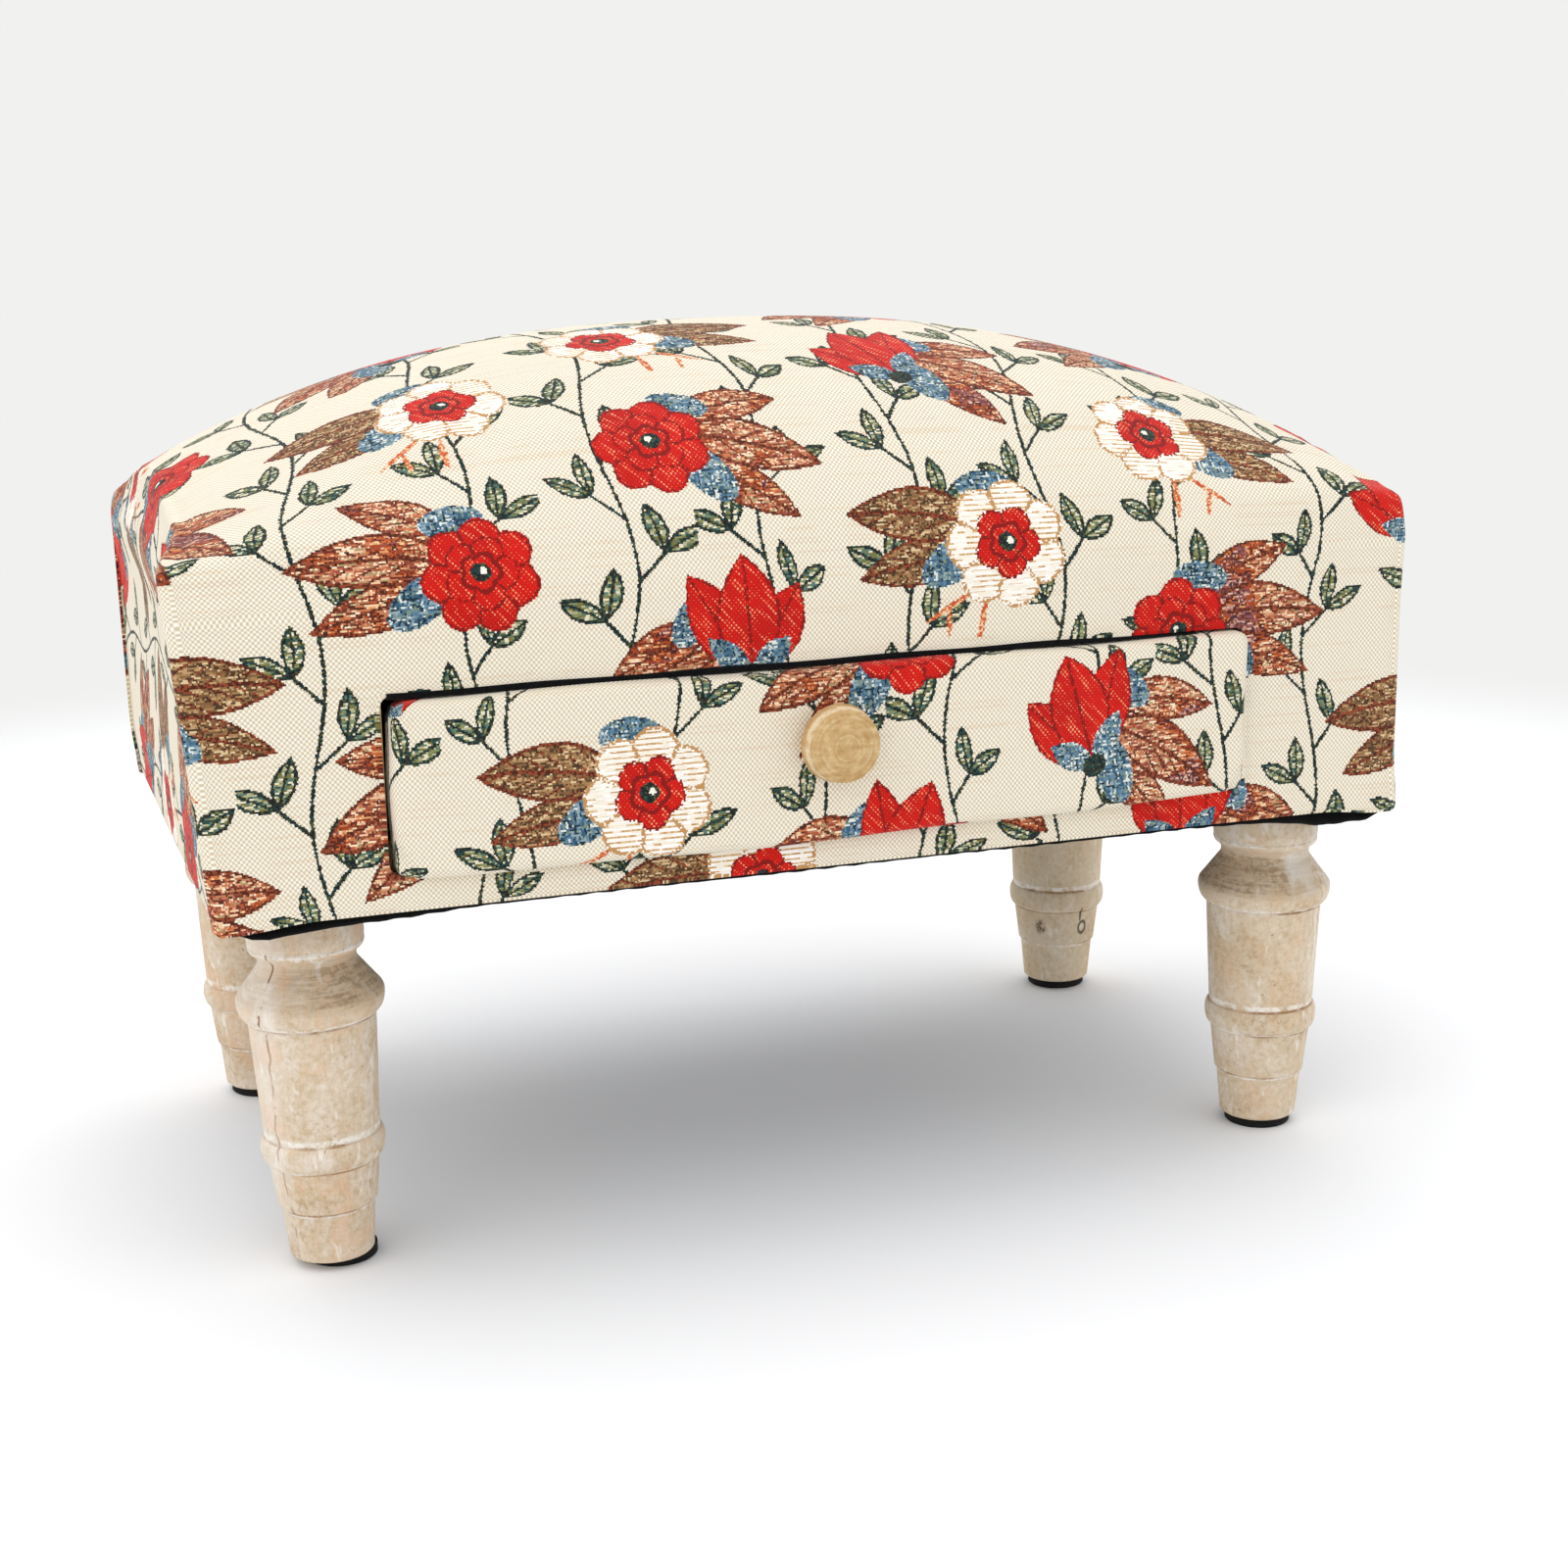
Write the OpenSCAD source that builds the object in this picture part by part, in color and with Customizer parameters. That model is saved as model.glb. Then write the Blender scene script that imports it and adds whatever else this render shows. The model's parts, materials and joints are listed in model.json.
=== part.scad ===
// Small domed footstool with one drawer: a box of boards on four turned legs,
// a foam crown, and a woven cover that runs over the top and down all four sides.
// Millimetres. X runs along the stool, Y from front to back, Z up. The origin is on the
// floor, at the middle of the ground that the stool covers, its knob included.

/* [Covered box] */
// Length of the covered box along its bottom edge
stool_w = 400; // [340:1:520]
// Depth of the covered box
stool_d = 230; // [200:1:320]
// Thickness of the woven cover
cover_t = 1.2; // [0.8:0.1:2]
// Width of the cloth turned under the base board
hem_w = 11; // [6:0.5:11]
// Thickness of the black lining under the base board
lining_t = 0.6; // [0.4:0.1:1]
// How far the lining's edge stays back from the cover's bottom edge
lining_in = 3; // [1:0.5:8]

/* [Boards] */
// Thickness of the base board
base_t = 10; // [9:0.5:18]
// Thickness of the side, back and front boards
wall_t = 12; // [9:0.5:15]
// Thickness of the deck board under the foam
deck_t = 9; // [6:0.5:15]
// Height of the front rail above the drawer
rail_h = 13.4; // [10:0.1:40]
// Rounding of the box's upright corners
board_r = 3.5; // [1:0.5:8]
// Side of the square glue blocks in the corners
block_w = 14; // [10:1:20]
// Height of the glue blocks
block_h = 55; // [30:1:60]

/* [Crown] */
// Height of the foam at its middle, above the deck board
crown_h = 75.5; // [50:0.5:110]
// Height of the foam at the middle of each end
crown_end_h = 30; // [18:0.5:45]
// How sharply the crown falls towards the ends
crown_power = 2.5; // [1.8:0.1:4]
// How far the foam pushes out the middle of the left end
left_push = 4.8; // [4:0.1:7]
// How much further than that it pushes the left end's front corner
left_twist = 3.8; // [0:0.1:4]
// How far the left end's back corner stands out, from its foot up
left_skew = 2.5; // [0:0.1:3]
// How far the foam pushes out the middle of the right end
right_push = 3.4; // [0:0.1:7]
// How far the right end stands out, from its foot up
right_out = 1; // [0:0.1:3]
// Upright wall of the foam below its dome
crown_wall = 1.5; // [0:0.5:10]
// Rounding of the foam's top edge at each end
crown_edge_r = 6.5; // [3:0.5:15]

/* [Legs] */
// Length of a turned leg, its pad not counted
leg_h = 117.8; // [98:0.1:160]
// Thickness of the pad under a leg
pad_t = 3.4; // [2:0.1:6]
// Radius of a pad
pad_r = 11.5; // [8:0.1:13]
// How far the front left pad sits to the right of the middle of its foot
pad_off = 3; // [0:0.1:4]
// How far it sits behind the middle of its foot
pad_back = 2; // [0:0.1:3]
// Distance of a leg's middle from the end of the box
leg_in_x = 33.2; // [31:0.1:60]
// Distance of a leg's middle from the front or back of the box
leg_in_y = 29.9; // [29.5:0.1:60]
// How far the front left leg leans out at its top
leg_lean = 2.9; // [0:0.1:3]
// How much further the back left leg stands from the back of the box
back_left_in = 5.5; // [0:0.5:8]
// Radius at the foot
foot_r = 13.3; // [10:0.1:15]
// Radius of the ring
ring_r = 19.2; // [18.5:0.1:22]
// Radius of the bulb
bulb_r = 23; // [21:0.1:26]
// Radius of the neck
neck_r = 15.2; // [12:0.1:16.5]
// Radius of the flange that meets the box
flange_r = 18.1; // [17:0.1:18.5]
// Height of a leg's foot, up to its small step
foot_h = 16.2; // [12:0.1:20]
// Height of the ring's lower edge above the foot
ring_z = 31.6; // [27:0.1:34]
// How much higher the front right leg's ring was turned
ring_up = 1.6; // [0:0.1:3]
// Height of the ring's band
ring_h = 8.6; // [7:0.1:12]
// Radius of the shaft between the ring and the bulb
shaft_r = 19.9; // [18.5:0.1:20.5]
// Distance of the bulb's widest circle below the top of the leg
bulb_drop = 33; // [31:0.1:36]
// Distance of the neck below the top of the leg
neck_drop = 20.4; // [19.6:0.1:22]
// Distance of the flange's lower edge below the top of the leg
flange_drop = 15.1; // [13:0.1:15.4]

/* [Drawer] */
// Width of the stool's front that is left beside the drawer front, were it in the middle
front_side = 58; // [52:0.5:100]
// Height of the wrapped drawer front
front_h = 53.5; // [40:0.5:70]
// How far the drawer front stands proud of the stool's front
front_proud = 5; // [2:0.5:9]
// Sideways place of the drawer, from the stool's middle
drawer_x = -3.5; // [-10:0.5:10]
// Thickness of the cloth and wadding round the drawer front
wrap_t = 3; // [2:0.5:4]
// Thickness of the board in the drawer front
front_t = 8; // [6:0.5:12]
// Clearance above and beside the drawer front in its opening
front_gap = 1.4; // [1:0.1:3]
// Clearance below the drawer front
front_lift = 0.5; // [0.4:0.1:1.5]
// Clearance between the drawer box and what it slides on or stops at
slide_gap = 0.3; // [0.2:0.05:0.6]
// How much narrower the drawer box is than its front, each side
box_in = 4; // [3:0.5:10]
// Height of the drawer box
box_h = 44.5; // [30:0.5:48]
// Thickness of the drawer box's walls
side_t = 6; // [4:0.5:9]
// Thickness of the drawer box's bottom
bottom_t = 3; // [2:0.5:5]
// Width of the strips that guide the drawer
guide_w = 10; // [6:0.5:16]
// Height of the strips that guide the drawer
guide_h = 8; // [5:0.5:20]

/* [Knob] */
// Radius of the knob's rim
knob_r = 12.5; // [9:0.1:16]
// Radius of the knob's flat face
knob_face_r = 11.4; // [8:0.1:16]
// Length of the knob
knob_l = 13.5; // [10:0.5:20]
// Length of the knob's neck behind its rim
knob_neck_l = 4.3; // [2:0.1:6]
// How far the edge of the knob's face lies behind its middle
knob_edge = 1.1; // [0.6:0.1:2]
// Radius of the knob's foot on the drawer
knob_foot_r = 7.5; // [5:0.1:9]
// Sideways place of the knob from the drawer's middle
knob_x = -4; // [-10:0.5:10]
// Height of the knob above the drawer front's middle
knob_up = 4; // [-10:0.5:10]

/* [Fasteners] */
// Radius of the leg bolts
bolt_r = 4; // [3:0.5:5]
// Length of the leg bolts
bolt_l = 40; // [32:1:45]
// Depth of the bolt's hole in the leg
bolt_hole = 26; // [20:1:32]
// Radius of a tee nut's barrel
nut_r = 5; // [5:0.1:6]
// Radius of a tee nut's flange
nut_flange_r = 8.5; // [7:0.1:10]
// Radius of the wood screws' shanks
screw_r = 1.8; // [1.5:0.1:2.5]
// Length of the wood screws
screw_l = 32; // [26:1:40]
// Radius of the knob's and the drawer front's screws
small_screw_r = 1.9; // [1.5:0.1:2.2]

/* [Hidden] */

$fn = 64;
// Clearance of a screw or bolt in its hole
hole_gap = 0.1;
// Clearance between the cover and what it is drawn over
soft_gap = 0.3;
// Clearance of the lining round a leg
leg_hole_gap = 0.5;
// Overshoot of a cut past the face that it opens
cut = 1;
// The foam pushes out this length of each end, most at this height above the deck board
push_l = 60;
push_up = 17;

// The box of boards stands on the legs, and the cover's bottom edge laps under it.
box_w = stool_w - 2 * (cover_t + soft_gap);
box_d = stool_d - 2 * (cover_t + soft_gap);
base_z = pad_t + leg_h;
body_z = base_z - cover_t;
floor_z = base_z + base_t;
front_w = stool_w - 2 * front_side;
opening_w = front_w + 2 * front_gap;
opening_h = front_lift + front_h + front_gap;
deck_z = floor_z + opening_h + rail_h;
foam_z = deck_z + deck_t;
inner_w = box_w - 2 * wall_t;
inner_d = box_d - 2 * wall_t;
wall_h = deck_z - floor_z;

// The drawer, from the front to the back
front_y = -stool_d / 2 - front_proud;
board_y = front_y + wrap_t;
box_y = board_y + front_t;
box_back_y = inner_d / 2 - slide_gap;
front_z = floor_z + front_lift;
drawer_z = floor_z + slide_gap;
drawer_w = front_w - 2 * box_in;
knob_at = [drawer_x + knob_x, front_y, front_z + front_h / 2 + knob_up];

// Where the tops of the legs meet the base board, and how far each foot stands to the right
leg_x = stool_w / 2 - leg_in_x;
leg_y = stool_d / 2 - leg_in_y;
corners = [
  [-leg_x - leg_lean, -leg_y], [leg_x, -leg_y], [-leg_x, leg_y - back_left_in], [leg_x, leg_y]
];
leans = [leg_lean, 0, 0, 0];

// The knob reaches further forward than the back reaches back, so the middle of
// the covered ground lies in front of the box's middle.
middle_y = (front_proud + knob_l) / 2;

wood = "#D9C3A9";
raw_board = "#C9A877";
steel = "#B8BBBE";
cloth = "#EDE2CC";

module placed() translate([0, middle_y, 0]) children();

// An arc of n steps round (r, z), from angle a to angle b
function arc(r, z, radius, a, b, n = 8) =
  [for (i = [0:n]) let (t = a + (b - a) * i / n) [r + radius * cos(t), z + radius * sin(t)]];

// A turned bead between two heights, half an ellipse that swells past its ends
function bead(r0, z0, r1, z1, swell, n = 10) =
  [for (i = [0:n]) let (t = 180 * i / n)
    [r0 + (r1 - r0) * i / n + swell * sin(t), z0 + (z1 - z0) * (1 - cos(t)) / 2]];

// Outline of a leg from its foot to its flange, up to `over` longer at both ends. The bulb,
// neck and flange keep their distance from the top, so a longer leg gains its length in the
// shaft.
module leg_outline(ring_z, over) {
  foot_flare = 1.45;
  step = 0.85;
  ring_low_in = 1.8;
  ring_high_in = 1.1;
  ring_swell = 0.65;
  groove = 0.5;
  bulb_under = 5.6;
  bulb_round = 3.8;
  neck_round = 3.4;
  bead_low = 3;
  bead_in = 1.5;
  bead_swell = 0.6;
  flange_ease = 0.2;
  flange_slope = 2;
  foot_ease = 0.7;
  bulb_z = leg_h - bulb_drop;
  neck_z = leg_h - neck_drop;
  flange_z = leg_h - flange_drop;
  shaft_top = bulb_z - bulb_under;
  polygon(concat(
    [[0, -over], [foot_r - foot_ease, -over], [foot_r, foot_ease - over]],
    [[foot_r + foot_flare, foot_h], [foot_r + foot_flare + step, foot_h + step]],
    bead(ring_r - ring_low_in, ring_z, ring_r - ring_high_in, ring_z + ring_h, ring_high_in + ring_swell),
    [[shaft_r, shaft_top - 2 * groove], [shaft_r - groove, shaft_top - groove]],
    [for (t = [-90:15:0]) [shaft_r + (bulb_r - shaft_r) * cos(t), bulb_z + bulb_under * sin(t)]],
    arc(bulb_r - bulb_round, bulb_z, bulb_round, 8, 46, 6),
    arc(neck_r + neck_round, neck_z, neck_round, 224, 132),
    bead(neck_r + bead_in, neck_z + bead_low, flange_r - flange_ease, flange_z, bead_swell, 6),
    [[flange_r, flange_z + flange_slope], [flange_r, leg_h + over], [0, leg_h + over]]
  ));
}

// A leg with its top at one of the corners. Both ends are cut flat, however it leans.
module leg(i, ring_at = ring_z) {
  at = corners[i];
  over = leans[i] > 0 ? 0.5 : 0;
  color(wood) placed() difference() {
    intersection() {
      translate([at.x, at.y, base_z]) rotate([0, -atan(leans[i] / leg_h), 0]) translate([0, 0, -leg_h])
        rotate_extrude() leg_outline(ring_at, over);
      translate([at.x, at.y, pad_t]) cylinder(r = 2 * bulb_r, h = leg_h);
    }
    translate([at.x, at.y, base_z - bolt_hole]) cylinder(r = bolt_r + hole_gap, h = bolt_hole + cut);
  }
}

// The front left pad was stuck on off the middle of its foot. A pad's lower edge is eased.
module pad(i, off = [0, 0]) {
  ease = 0.5;
  color("#1C1B1A") placed() translate([corners[i].x + leans[i] + off.x, corners[i].y + off.y, 0])
    rotate_extrude() polygon([[0, 0], [pad_r - ease, 0], [pad_r, ease], [pad_r, pad_t], [0, pad_t]]);
}

module leg_bolts() color(steel) placed()
  for (at = corners) translate([at.x, at.y, base_z - bolt_hole + cut]) cylinder(r = bolt_r, h = bolt_l);

// A tee nut's flange lies on the base board, and its barrel reaches down the bolt's hole.
module tee_nuts() {
  flange_t = 1.5;
  barrel_short = 3;
  barrel = base_t - barrel_short;
  color(steel) placed() for (at = corners) translate([at.x, at.y, floor_z]) difference() {
    union() {
      cylinder(r = nut_flange_r, h = flange_t);
      translate([0, 0, -barrel]) cylinder(r = nut_r, h = barrel);
    }
    translate([0, 0, -barrel - cut]) cylinder(r = bolt_r + hole_gap, h = barrel + flange_t + 2 * cut);
  }
}

// The box's footprint with its rounded upright corners, as an exact solid
module footprint(h, w = box_w, d = box_d, r = board_r) linear_extrude(h) {
  square([w - 2 * r, d], center = true);
  square([w, d - 2 * r], center = true);
  for (x = [-1, 1], y = [-1, 1]) translate([x * (w / 2 - r), y * (d / 2 - r)]) circle(r);
}

// The part of the footprint that lies between two corners in plan
module board(low, high, z, h) intersection() {
  translate([0, 0, z]) footprint(h);
  translate([low.x, low.y, z - cut]) cube([high.x - low.x, high.y - low.y, h + 2 * cut]);
}

// Screws stand in the middle of the walls: two in each side panel, two in the back panel
side_screw_x = box_w / 2 - wall_t / 2;
side_screw_y = inner_d / 4;
back_screw_x = inner_w / 4;
screw_spots = concat(
  [for (x = [-1, 1], y = [-1, 1]) [x * side_screw_x, y * side_screw_y]],
  [for (x = [-1, 1]) [x * back_screw_x, inner_d / 2 + wall_t / 2]]
);
screw_head_r = 2 * screw_r;

// A countersunk screw, or with a clearance the hole that holds it, head down at z = 0
module screw(clear = 0) {
  cylinder(r = screw_r + clear, h = screw_l + clear);
  cylinder(r1 = screw_head_r + clear, r2 = screw_r + clear, h = screw_head_r - screw_r);
}

module base_screw_set(clear = 0)
  for (at = screw_spots) translate([at.x, at.y, base_z]) screw(clear);

module deck_screw_set(clear = 0)
  for (at = screw_spots) translate([at.x, at.y, foam_z]) rotate([180, 0, 0]) screw(clear);

module base_screws() color(steel) placed() base_screw_set();

module deck_screws() color(steel) placed() deck_screw_set();

module base_board() color(raw_board) placed() difference() {
  translate([0, 0, base_z]) footprint(base_t);
  for (at = corners) translate([at.x, at.y, base_z - cut]) cylinder(r = nut_r + hole_gap, h = base_t + 2 * cut);
  base_screw_set(hole_gap);
}

// A board of the box with its share of the screw holes
module wall(low, high, z = floor_z, h = wall_h) color(raw_board) placed() difference() {
  board(low, high, z, h);
  base_screw_set(hole_gap);
  deck_screw_set(hole_gap);
}

module side_panel(side) {
  inner = inner_w / 2;
  outer = box_w / 2;
  wall([side < 0 ? -outer : inner, -box_d / 2], [side < 0 ? -inner : outer, box_d / 2]);
}

module back_panel() wall([-inner_w / 2, inner_d / 2], [inner_w / 2, box_d / 2]);

module front_stile(side) {
  near = drawer_x + side * opening_w / 2;
  far = side * inner_w / 2;
  wall([min(near, far), -box_d / 2], [max(near, far), -inner_d / 2]);
}

module front_top_rail()
  wall([drawer_x - opening_w / 2, -box_d / 2], [drawer_x + opening_w / 2, -inner_d / 2],
    deck_z - rail_h, rail_h);

module deck_board() color(raw_board) placed() difference() {
  translate([0, 0, deck_z]) footprint(deck_t);
  deck_screw_set(hole_gap);
}

module corner_blocks() color(raw_board) placed()
  for (x = [-1, 1], y = [-1, 1])
    translate([x * (inner_w - block_w) / 2, y * (inner_d - block_w) / 2, deck_z - block_h / 2])
      cube([block_w, block_w, block_h], center = true);

module drawer_guide(side) {
  near = drawer_x + side * (drawer_w / 2 + slide_gap);
  color(wood) placed() translate([side < 0 ? near - guide_w : near, -inner_d / 2, floor_z])
    cube([guide_w, inner_d, guide_h]);
}

// Height of the foam above the deck along its middle line, x from the middle
function crown(x) = crown_h - (crown_h - crown_end_h) * pow(min(1, abs(x) / (stool_w / 2)), crown_power);

// How far a point of the padding is pushed sideways. Both ends lean out as they rise: the
// left one most at its front corner, the right one in its middle.
function push(x, y, z) =
  let (depth = 2 * y / stool_d, share = (abs(x) - stool_w / 2 + push_l) / push_l,
    lift = max(0, min(1, (z - base_z) / (foam_z + push_up - base_z))))
  max(0, min(1, share)) * (x < 0
    ? -lift * (left_push - left_twist * depth) - left_skew * (1 + depth) / 2
    : lift * right_push * (1 - depth * depth) + right_out);

// Closed solid under the dome, everywhere `off` outside the foam and reaching down to
// `low`. Cross sections stand along X. Each is upright below and half an ellipse above,
// the sections near each end shrink round a quarter circle, and a cap closes each end.
module crown_solid(off, low) {
  r = board_r + off;
  edge_r = crown_edge_r + off;
  half_x = box_w / 2 + off;
  half_y = box_d / 2 + off;
  steps = 14;
  arcs = 20;
  rows = arcs / 2;
  columns = 4;
  end_a = [90, 60, 30, 0];
  stations = concat(
    [for (a = end_a) [-(half_x - r * (1 - sin(a))), 1 - cos(a)]],
    [for (i = [1:steps - 1]) [(2 * i / steps - 1) * (half_x - r), 0]],
    [for (i = [len(end_a) - 1:-1:0]) [half_x - r * (1 - sin(end_a[i])), 1 - cos(end_a[i])]]
  );
  points = [for (s = stations)
    let (y = half_y - s[1] * r, rise = crown(s[0]) + off - s[1] * edge_r - crown_wall)
    each concat(
      [[s[0], -y, low]],
      [for (i = [0:arcs]) let (t = 180 - 180 * i / arcs) [s[0], y * cos(t), foam_z + crown_wall + rise * sin(t)]],
      [[s[0], y, low]]
    )];
  n = arcs + 3;
  last = (len(stations) - 1) * n;
  // Points between the front and the back edge of a cap, row by row above its lowest row
  between = [for (first = [0, last], i = [1:rows], j = [1:columns - 1])
    let (p = points[first + i]) [p.x, p.y * (1 - 2 * j / columns), p.z]];
  function cap_point(right, i, j) = let (first = right * last)
    i > rows ? first + rows + 1
    : j == 0 || (i == 0 && 2 * j < columns) ? first + i
    : j == columns || i == 0 ? first + n - 1 - i
    : len(points) + (right * rows + i - 1) * (columns - 1) + j - 1;
  faces = concat(
    [for (s = [0:len(stations) - 2], i = [0:n - 1]) let (a = s * n + i, b = s * n + (i + 1) % n)
      each [[a, b, b + n], [a, b + n, a + n]]],
    [for (right = [0, 1], i = [0:rows], j = [0:columns - 1])
      let (a = cap_point(right, i, j + right), b = cap_point(right, i, j + 1 - right),
        c = cap_point(right, i + 1, j + 1 - right), d = cap_point(right, i + 1, j + right))
      each [[a, b, c], [a, c, d]]]
  );
  polyhedron(
    [for (p = concat(points, between)) [p.x + push(p.x, p.y, p.z), p.y, p.z]],
    [for (f = faces) if (f[0] != f[1] && f[1] != f[2] && f[0] != f[2]) f]
  );
}

module foam_pad() color("#F4EBD2") placed() crown_solid(0, foam_z);

// The opening for the drawer, as the cover's slot
module drawer_slot() {
  deep = stool_d / 2 - inner_d / 2;
  translate([drawer_x - opening_w / 2, -stool_d / 2 - deep, floor_z])
    cube([opening_w, 2 * deep, opening_h]);
}

module cover() color(cloth) placed() difference() {
  crown_solid(soft_gap + cover_t, body_z);
  crown_solid(soft_gap, base_z);
  drawer_slot();
  translate([0, 0, body_z - cut]) footprint(cover_t + 2 * cut, stool_w - 2 * hem_w, stool_d - 2 * hem_w);
}

module lining() color("#17171A") placed() difference() {
  translate([0, 0, body_z - lining_t])
    footprint(lining_t, stool_w - 2 * lining_in, stool_d - 2 * lining_in);
  for (at = corners) translate([at.x, at.y, body_z - lining_t - cut])
    cylinder(r = flange_r + leg_hole_gap, h = lining_t + 2 * cut);
}

// The drawer front's own screws stand at thirds of its width, and one more holds the knob.
front_screw_x = front_w / 3;
front_screw_z = drawer_z + bottom_t + (box_h - bottom_t) / 2;
small_head_r = 2 * small_screw_r;
small_head_t = 2;
front_screw_short = 2;
front_screw_l = side_t + front_t - front_screw_short;
knob_hole = 8;
knob_screw_short = 1;
knob_screw_l = side_t + front_t + wrap_t + knob_hole - knob_screw_short;

// A pan-head screw that runs forward from the inside of the drawer box
module pan_screw(length, clear = 0) rotate([90, 0, 0]) {
  cylinder(r = small_screw_r + clear, h = length + clear);
  translate([0, 0, -small_head_t]) cylinder(r = small_head_r, h = small_head_t);
}

module front_screw_set(clear = 0)
  for (x = [-1, 1]) translate([drawer_x + x * front_screw_x, box_y + side_t, front_screw_z])
    pan_screw(front_screw_l, clear);

module knob_screw_at(clear = 0)
  translate([knob_at.x, box_y + side_t, knob_at.z]) pan_screw(knob_screw_l, clear);

module front_screws() color(steel) placed() front_screw_set();

module knob_screw() color(steel) placed() knob_screw_at();

module drawer_front_board() color(raw_board) placed() difference() {
  translate([drawer_x - front_w / 2 + wrap_t, board_y, front_z + wrap_t])
    cube([front_w - 2 * wrap_t, front_t, front_h - 2 * wrap_t]);
  front_screw_set(hole_gap);
  knob_screw_at(hole_gap);
}

// Cloth over wadding: rounded on its face, open at the back, with the board inside
module drawer_front_cover() {
  edge_over = 1;
  r = wrap_t + edge_over;
  color(cloth) placed() difference() {
    hull() for (x = [-1, 1], z = [r, front_h - r])
      translate([drawer_x + x * (front_w / 2 - r), front_y + r, front_z + z]) {
        sphere(r, $fn = 24);
        rotate([-90, 0, 0]) cylinder(r = r, h = box_y - front_y - r, $fn = 24);
      }
    translate([drawer_x - front_w / 2 + wrap_t, board_y, front_z + wrap_t])
      cube([front_w - 2 * wrap_t, front_t + cut, front_h - 2 * wrap_t]);
    knob_screw_at(hole_gap);
  }
}

// A board of the drawer box, from low to high in drawer coordinates
module box_part(low, size) color("#D8BE93") placed()
  translate([drawer_x + low.x, low.y, drawer_z + low.z]) difference() {
    cube(size);
    translate([-drawer_x - low.x, -low.y, -drawer_z - low.z]) {
      front_screw_set(hole_gap);
      knob_screw_at(hole_gap);
    }
  }

box_l = box_back_y - box_y;
wall_z = box_h - bottom_t;

module drawer_side(side)
  box_part([side < 0 ? -drawer_w / 2 : drawer_w / 2 - side_t, box_y, bottom_t], [side_t, box_l, wall_z]);

module drawer_box_front()
  box_part([-drawer_w / 2 + side_t, box_y, bottom_t], [drawer_w - 2 * side_t, side_t, wall_z]);

module drawer_back()
  box_part([-drawer_w / 2 + side_t, box_back_y - side_t, bottom_t], [drawer_w - 2 * side_t, side_t, wall_z]);

module drawer_bottom() box_part([-drawer_w / 2, box_y, 0], [drawer_w, box_l, bottom_t]);

// Turned knob, its foot on the drawer's cloth and its face forward
module knob() {
  round_r = 1.2;
  rim_in = 1;
  face_slope = 0.2;
  rim_low_r = knob_r - rim_in;
  face_l = knob_l - knob_edge;
  color("#D6BC8C") placed() translate(knob_at) rotate([90, 0, 0]) rotate_extrude() polygon(concat(
    [[small_screw_r + hole_gap, knob_hole], [small_screw_r + hole_gap, 0], [knob_foot_r, 0]],
    [for (t = [180:-15:90]) [rim_low_r + (rim_low_r - knob_foot_r) * cos(t), knob_neck_l * (1 + cos(t)) * sin(t)]],
    arc(knob_r - round_r, knob_neck_l + round_r, round_r, -60, 0, 4),
    arc(knob_face_r - round_r, face_l - round_r, round_r, 20, 80, 4),
    [[knob_face_r / 2, knob_l - face_slope], [0, knob_l], [0, knob_hole]]
  ));
}

leg(0);  // leg_front_left
leg(1, ring_z + ring_up);  // leg_front_right
leg(2);  // leg_back_left
leg(3);  // leg_back_right
pad(0, [pad_off, pad_back]);  // pad_front_left
pad(1);  // pad_front_right
pad(2);  // pad_back_left
pad(3);  // pad_back_right
leg_bolts();
tee_nuts();
base_board();
side_panel(-1);  // side_panel_left
side_panel(1);  // side_panel_right
back_panel();
front_stile(-1);  // front_stile_left
front_stile(1);  // front_stile_right
front_top_rail();
corner_blocks();
deck_board();
base_screws();
deck_screws();
drawer_guide(-1);  // drawer_guide_left
drawer_guide(1);  // drawer_guide_right
foam_pad();
cover();
lining();
drawer_front_board();
drawer_front_cover();
drawer_box_front();
drawer_side(-1);  // drawer_side_left
drawer_side(1);  // drawer_side_right
drawer_back();
drawer_bottom();
front_screws();
knob();
knob_screw();
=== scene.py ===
import json
import math

import bmesh
import bpy
import numpy as np
from mathutils import Matrix, Vector


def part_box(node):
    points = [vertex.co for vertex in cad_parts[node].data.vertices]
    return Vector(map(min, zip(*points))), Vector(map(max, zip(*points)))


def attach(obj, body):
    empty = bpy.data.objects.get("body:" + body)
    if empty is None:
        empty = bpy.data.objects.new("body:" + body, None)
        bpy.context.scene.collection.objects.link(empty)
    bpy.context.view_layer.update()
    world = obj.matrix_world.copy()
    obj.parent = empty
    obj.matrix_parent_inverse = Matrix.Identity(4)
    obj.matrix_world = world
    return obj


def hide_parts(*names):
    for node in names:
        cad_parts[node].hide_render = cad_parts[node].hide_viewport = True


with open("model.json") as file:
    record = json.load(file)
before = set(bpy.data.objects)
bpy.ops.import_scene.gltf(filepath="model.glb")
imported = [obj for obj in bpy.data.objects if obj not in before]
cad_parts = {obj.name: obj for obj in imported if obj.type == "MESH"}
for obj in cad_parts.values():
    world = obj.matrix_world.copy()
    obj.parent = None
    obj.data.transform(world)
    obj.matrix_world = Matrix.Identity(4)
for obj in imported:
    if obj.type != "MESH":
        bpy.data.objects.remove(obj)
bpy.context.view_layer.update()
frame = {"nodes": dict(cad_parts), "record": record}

MM = 0.001
TURN = 2 * math.pi

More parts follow.
